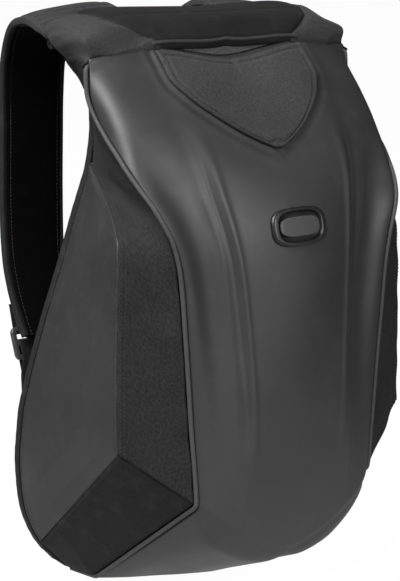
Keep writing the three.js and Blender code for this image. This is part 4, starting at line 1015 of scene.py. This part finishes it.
def build_back_panel():
    """A pad that swells as a fourth power from its edges, with ripples, one channel down its middle and five
    across it that drop towards the sides."""
    down = steps((0, 1, 100))[:, None]
    across = np.linspace(-1, 1, 60 * FINE + 1)[None]
    z = mix(PANEL_TOP, PANEL_BOTTOM, down[:, 0])
    edge = place(*rail_at(OUTLINE_RAIL, z), z)
    x = across * inset_half(edge[:, 2], BINDING_WIDTH + 5 * GAP)[:, None]
    height = edge[:, 2:] + 0 * x
    puff = (1 - across ** 4) * (1 - (2 * down - 1) ** 4)
    channel = MIDDLE_CHANNEL_DEPTH * bell(x, 0, 0.011)
    for level in CHANNEL_LEVELS:
        channel = np.maximum(channel, CHANNEL_DEPTH * bell(height - 0.1 * np.abs(x), level, 0.0055))
    inset = fade(edge_distance(np.stack([x, 0 * x, height], -1)), 0, 0.012)
    face = edge[:, 1:2] - 0.15 * BINDING_DEPTH + puff * PANEL_BULGE - channel * np.minimum(puff * 2, 1)
    face = face + 0.0004 * waves(51, 6, 0.03, 0.09)(x, height) * inset
    outer = rolled(np.stack([x, face, height], -1), np.array([0, 1.0, 0]), 0.008, 0.003)
    inner = np.stack([x, edge[:, 1:2] - BINDING_DEPTH + 0 * x, height], -1)
    piece = solid_object("back panel", outer, inner, MESH_LOOK, "back_panel", outer)


def build_binding():
    """A squared band swept round the back's outline: up one side, over, down the other and back."""
    half = BINDING_WIDTH / 2
    side = place(*along(OUTLINE_RAIL, np.linspace(1, 0, 200)))
    z = np.clip(side[:, 2], half, OUTLINE_RAIL[0, 0] * HEIGHT - half)
    side = np.stack([inset_half(z, half), side[:, 1] - BINDING_DEPTH / 2, z], -1)
    share = np.linspace(1, -1, 60)[1:-1, None]
    top, bottom = (side[end] * np.concatenate([sign * share, share ** 0, share ** 0], 1)
                   for end, sign in ((-1, 1), (0, -1)))
    path = np.concatenate([side, top, side[::-1] * LEFT, bottom])
    rings = swept(path, np.array([0.0, 1.0, 0.0]), BINDING_DEPTH, BINDING_WIDTH, 0.5 * circle(20, 0.45), looped=True)
    swept_object("edge binding", rings, TAPE_LOOK, "edge_binding", looped=True)


# ---- Straps and hardware ----

def catmull(points, count):
    """Centripetal Catmull-Rom curve through points, at even shares of its spans."""
    padded = np.concatenate([[2 * points[0] - points[1]], points, [2 * points[-1] - points[-2]]])
    at = np.linspace(0, len(points) - 1, count)
    i = np.minimum(at.astype(int), len(points) - 2)
    w = (at - i)[:, None]
    p0, p1, p2, p3 = (padded[i + k] for k in range(4))
    d0, d1, d2 = (np.maximum(np.linalg.norm(b - a, axis=1, keepdims=True) ** 0.5, 1e-6)
                  for a, b in ((p0, p1), (p1, p2), (p2, p3)))
    t1 = ((p1 - p0) / d0 - (p2 - p0) / (d0 + d1) + (p2 - p1) / d1) * d1
    t2 = ((p2 - p1) / d1 - (p3 - p1) / (d1 + d2) + (p3 - p2) / d2) * d1
    c2 = -3 * p1 + 3 * p2 - 2 * t1 - t2
    c3 = 2 * p1 - 2 * p2 + t1 + t2
    return p1 + t1 * w + c2 * w ** 2 + c3 * w ** 3


def pad_height(w):
    """Half a cushion's thickness at share w of its width from the middle: full there, thin at the edge tape."""
    full = 0.27 + 0.23 * np.sqrt(np.maximum(1 - (np.abs(w) / 0.5) ** 3.2, 0))
    rise = np.sqrt(np.maximum(1 - (np.abs(w) / 0.5) ** (2 / 0.75), 0))
    return full * rise ** 0.35


def build_straps():
    """A cushion section swept down the strap's rows, uneven by slow waves, with gathers in its thickness where
    the wing's cloth covers it; edge tapes and stitches run along both sides."""
    share = steps((0, 1, 120))
    knots = np.linspace(0, 1, len(STRAP_ROWS))
    path = catmull(place(*STRAP_ROWS[:, :3].T), len(share))
    width, thick, tilt = (hermite(knots, STRAP_ROWS[:, k], share) for k in (3, 4, 5))
    # Its root runs on under the yoke.
    path = np.concatenate([path[0] + np.array([[0, -0.012, -0.0065], [0, -0.006, -0.0028]]), path])
    width, thick, tilt = (np.concatenate([v[:1], v[:1], v]) for v in (width, thick, tilt))
    thick[:2] *= 0.8
    width, thick = width * STRAP_WIDTH, thick * STRAP_THICKNESS
    wide = np.stack([np.cos(tilt), 0 * tilt, -np.sin(tilt)], -1)
    side, out = path_frames(path, wide)
    round_it = circle(48, 0.75)
    section = np.stack([0.5 * round_it[:, 0], np.sign(round_it[:, 1]) * pad_height(0.5 * round_it[:, 0])], -1)
    share = np.linspace(0, 1, len(path))
    rings = swept(path, wide, width, thick, section)
    bend = waves(61, 5, 0.04, 0.12)(rings[..., 0], rings[..., 2])
    gathers = fade(share, 1.4 * COVERED, 0.4 * COVERED) * np.sin(2 * np.pi * lengths(path[None])[0] / GATHER_PITCH)
    offset = rings - path[:, None]
    rise = np.sum(offset * out[:, None], -1, keepdims=True) * out[:, None]
    rings = rings + offset * 0.035 * bend[..., None] + rise * 0.2 * gathers[:, None, None]
    covered = share[:-1] < COVERED
    for name, flip in SIDES:
        piece = swept_object(f"shoulder strap {name}", rings * flip, STRAP_LOOK,
                             f"shoulder_strap_{name}")
        second_look(piece, WING_LOOK, np.repeat(covered, len(section)))
        for edge, label in ((1, "outer"), (-1, "inner")):
            line = path + side * (edge * 0.5 * (width - 0.001))[:, None]
            tape = swept(line, side, 0.0052, 0.58 * STRAP_THICKNESS, 0.5 * circle(16, 0.5)) * flip
            tape = swept_object(f"strap edge tape {name} {label}", tape, TAPE_LOOK)
            second_look(tape, WING_LOOK, np.repeat(covered, 16))
            inset = 0.5 - 0.0062 / width
            for face in (1, -1):
                row = path + side * (edge * inset * width)[:, None] + out * (face * pad_height(inset) * thick)[:, None]
                stitches(f"strap stitches {name} {edge} {face}".replace("-", "m"), row * flip, face * out * flip,
                         THREAD_LOOK, "shoulder_strap")


def lock_point(x, up, out):
    """A point in the ladder lock's own frame: up along it, and out of it towards the back panel."""
    turn = math.pi / 2 - LOCK_LEAN
    cosine, sine = math.cos(turn), math.sin(turn)
    return place(*LOCK_PLACE) + np.stack([x + 0 * up, cosine * up - sine * out, sine * up + cosine * out], -1)


def build_ribbon(name, path, node, flip):
    """A flat band with squared edges swept along a softened path."""
    rings = swept(soften(resample(path, 0.001), 5), np.array([1.0, 0.0, 0.0]), WEBBING_WIDTH, WEBBING_THICKNESS,
                  0.5 * circle(36, 0.32))
    swept_object(f"{name} {node}", rings * flip, WEBBING_LOOK,
                 f"{name.replace(' ', '_')}_{node}")


def round_bar(end, reach, clear, turn, last):
    """Along the lock's face from one end, over a bar and back along its other face to the last point."""
    run = np.array([(end, clear), (reach, clear), (turn, clear / 2), (turn, -clear / 2), (reach, -clear), *last])
    return lock_point(0.0, run[:, 0], run[:, 1])


def build_lock(side, flip):
    """The ladder lock: a frame swept round its outline, and a bar across its middle, both with rounded sections."""
    half_w, half_h = (size / 2 - LOCK_BAR / 2 for size in (LOCK_WIDTH, LOCK_HEIGHT))
    radius = 0.003
    quarter = np.linspace(0, np.pi / 2, 12)
    corner = np.stack([np.cos(quarter), np.sin(quarter)], -1) * radius
    turns = [np.array([[c, s], [-s, c]]) for c, s in ((1, 0), (0, 1), (-1, 0), (0, -1))]
    spots = np.array([(1, 1), (-1, 1), (-1, -1), (1, -1)]) * (half_w - radius, half_h - radius)
    flat = np.concatenate([corner @ turn + spot for turn, spot in zip(turns, spots)])
    section = 0.5 * circle(20, 0.5)
    _, out = path_frames(np.concatenate([flat, 0 * flat[:, :1]], 1), np.array([0, 0, 1.0]), looped=True)
    ring = flat[:, None] + out[:, None, :2] * (section[None, :, 1:] * LOCK_BAR)
    up = section[None, :, 0] * LOCK_THICKNESS + 0 * ring[..., 0]
    swept_object(f"ladder lock {side}", lock_point(ring[..., 0], ring[..., 1], up) * flip, HIGHLIGHT_GREY_LOCK_LOOK,
                 f"ladder_lock_{side}", looped=True)
    x = np.linspace(-half_w, half_w, 12)[:, None]
    bar = lock_point(x + 0 * section[:, 0], section[:, 1] * LOCK_BAR + 0 * x,
                     section[:, 0] * LOCK_THICKNESS * 0.9 + 0 * x)
    swept_object(f"ladder lock {side} bar", bar * flip, HIGHLIGHT_GREY_LOCK_LOOK)


def build_hardware():
    """On each side the lock, the webbing round its middle bar and the tab round its upper bar."""
    clear = LOCK_THICKNESS / 2 + WEBBING_THICKNESS / 2 + GAP
    turn = LOCK_BAR / 2 + WEBBING_THICKNESS / 2 + GAP
    low = -LOCK_HEIGHT / 2
    looped = round_bar(low, turn / 2, clear, turn, [(low, -clear), (low - TAIL_LENGTH, -clear - GAP)])
    webbing = np.concatenate([catmull(place(*WEBBING_ROWS.T), 60), looped])
    turn = LOCK_HEIGHT / 2 - LOCK_BAR - WEBBING_THICKNESS / 2 - GAP
    high = LOCK_HEIGHT / 2 + TAB_LENGTH
    tab = round_bar(high, turn + WEBBING_THICKNESS, clear, turn, [(high, -TAB_CLOSED)])
    for side, flip in SIDES:
        build_lock(side, flip)
        build_ribbon("strap webbing", webbing, side, flip)
        build_ribbon("lock tab", tab, side, flip)


# ---- Stage, lights and camera ----

FLOOR_SIZE = 30.0
FLOOR_GLOW = 0.97
FLOOR_BOUNCE = 0.7
BOUNCE_FROM, BOUNCE_TO = 0.25, 0.8
WORLD_STRENGTH = 0.035
WHITE = (1, 1, 1, 1)
# Each light: its place, what it is aimed at, its size and its power.
LIGHTS = {"key": ((-1.4, -0.25, 1.7), (0, 0, 0.3), 1.5, 90), "front": ((0.35, -2.35, 0.95), (0, 0, 0.25), 0.7, 32),
          "top": ((-0.3, 0.4, 2.8), (0, 0, 0.3), 1.2, 3)}
CAMERA_AIM = np.array([0, -0.035, 0.254])
CAMERA_DISTANCE = 2.1
AZIMUTH = math.radians(-42)
ELEVATION = math.radians(9.5)
LENS = 97.76


def build_stage():
    """A pale floor that glows to the camera, and to nothing else but a patch round the pack, under a dim sky."""
    mesh = bpy.data.meshes.new("floor")
    corners = [(x * FLOOR_SIZE, y * FLOOR_SIZE, 0) for x, y in ((-1, -1), (1, -1), (1, 1), (-1, 1))]
    mesh.from_pydata(corners, [], [(0, 1, 2, 3)])
    floor = bpy.data.objects.new("floor", mesh)
    bpy.context.scene.collection.objects.link(floor)
    look = bpy.data.materials.new("pale floor")
    look.use_nodes = True
    tree = look.node_tree
    tree.nodes.clear()
    seen = shader_node(tree, "LightPath", {}, "Is Camera Ray")
    away = shader_node(tree, "VectorMath", {0: shader_node(tree, "TexCoord", {}, "Object")}, "Value", operation="LENGTH")
    near = ramp(tree, away, BOUNCE_FROM, BOUNCE_TO, FLOOR_BOUNCE, 0.0)
    glow = calc(tree, "MULTIPLY", near, calc(tree, "SUBTRACT", 1.0, seen))
    inputs = {"Base Color": (0.05, 0.05, 0.05, 1), "Roughness": 0.9, "Emission Color": WHITE,
              "Emission Strength": calc(tree, "MULTIPLY_ADD", seen, FLOOR_GLOW, glow)}
    shader_node(tree, "OutputMaterial", {"Surface": shader_node(tree, "BsdfPrincipled", inputs)}, None)
    mesh.materials.append(look)
    world = bpy.data.worlds.new("studio")
    world.use_nodes = True
    sky = world.node_tree.nodes["Background"].inputs
    sky["Color"].default_value = WHITE
    sky["Strength"].default_value = WORLD_STRENGTH
    bpy.context.scene.world = world


def aimed(name, data, spot, direction):
    """An object at a spot whose -Z points along a direction, with +Y as near up as can be."""
    made = bpy.data.objects.new(name, data)
    x, y, z = direction / np.linalg.norm(direction)
    made.location = spot
    made.rotation_euler = (math.acos(-z), 0.0, math.atan2(y, x) - math.pi / 2)
    bpy.context.scene.collection.objects.link(made)
    return made


def build_lights():
    for name, (spot, aim, size, power) in LIGHTS.items():
        light = bpy.data.lights.new(name, "AREA")
        light.shape = "RECTANGLE"
        light.size = light.size_y = size
        light.energy = power
        light.spread = math.pi
        aimed(name, light, spot, np.array(aim) - np.array(spot))


def build_camera():
    level = math.cos(ELEVATION)
    back = np.array([math.sin(AZIMUTH) * level, -math.cos(AZIMUTH) * level, math.sin(ELEVATION)])
    camera = bpy.data.cameras.new("camera")
    camera.sensor_fit = "VERTICAL"
    camera.sensor_height = 24
    camera.lens = LENS
    bpy.context.scene.camera = aimed("camera", camera, CAMERA_AIM + CAMERA_DISTANCE * back, -back)


build_shell()
build_front_gussets()
build_side_panels()
build_bottom_gussets()
build_piping()
build_yoke()
build_collar()
build_flap()
build_badge()
build_back_panel()
build_binding()
build_straps()
build_hardware()
build_stage()
build_lights()
bpy.context.scene.view_settings.view_transform = "Standard"
build_camera()
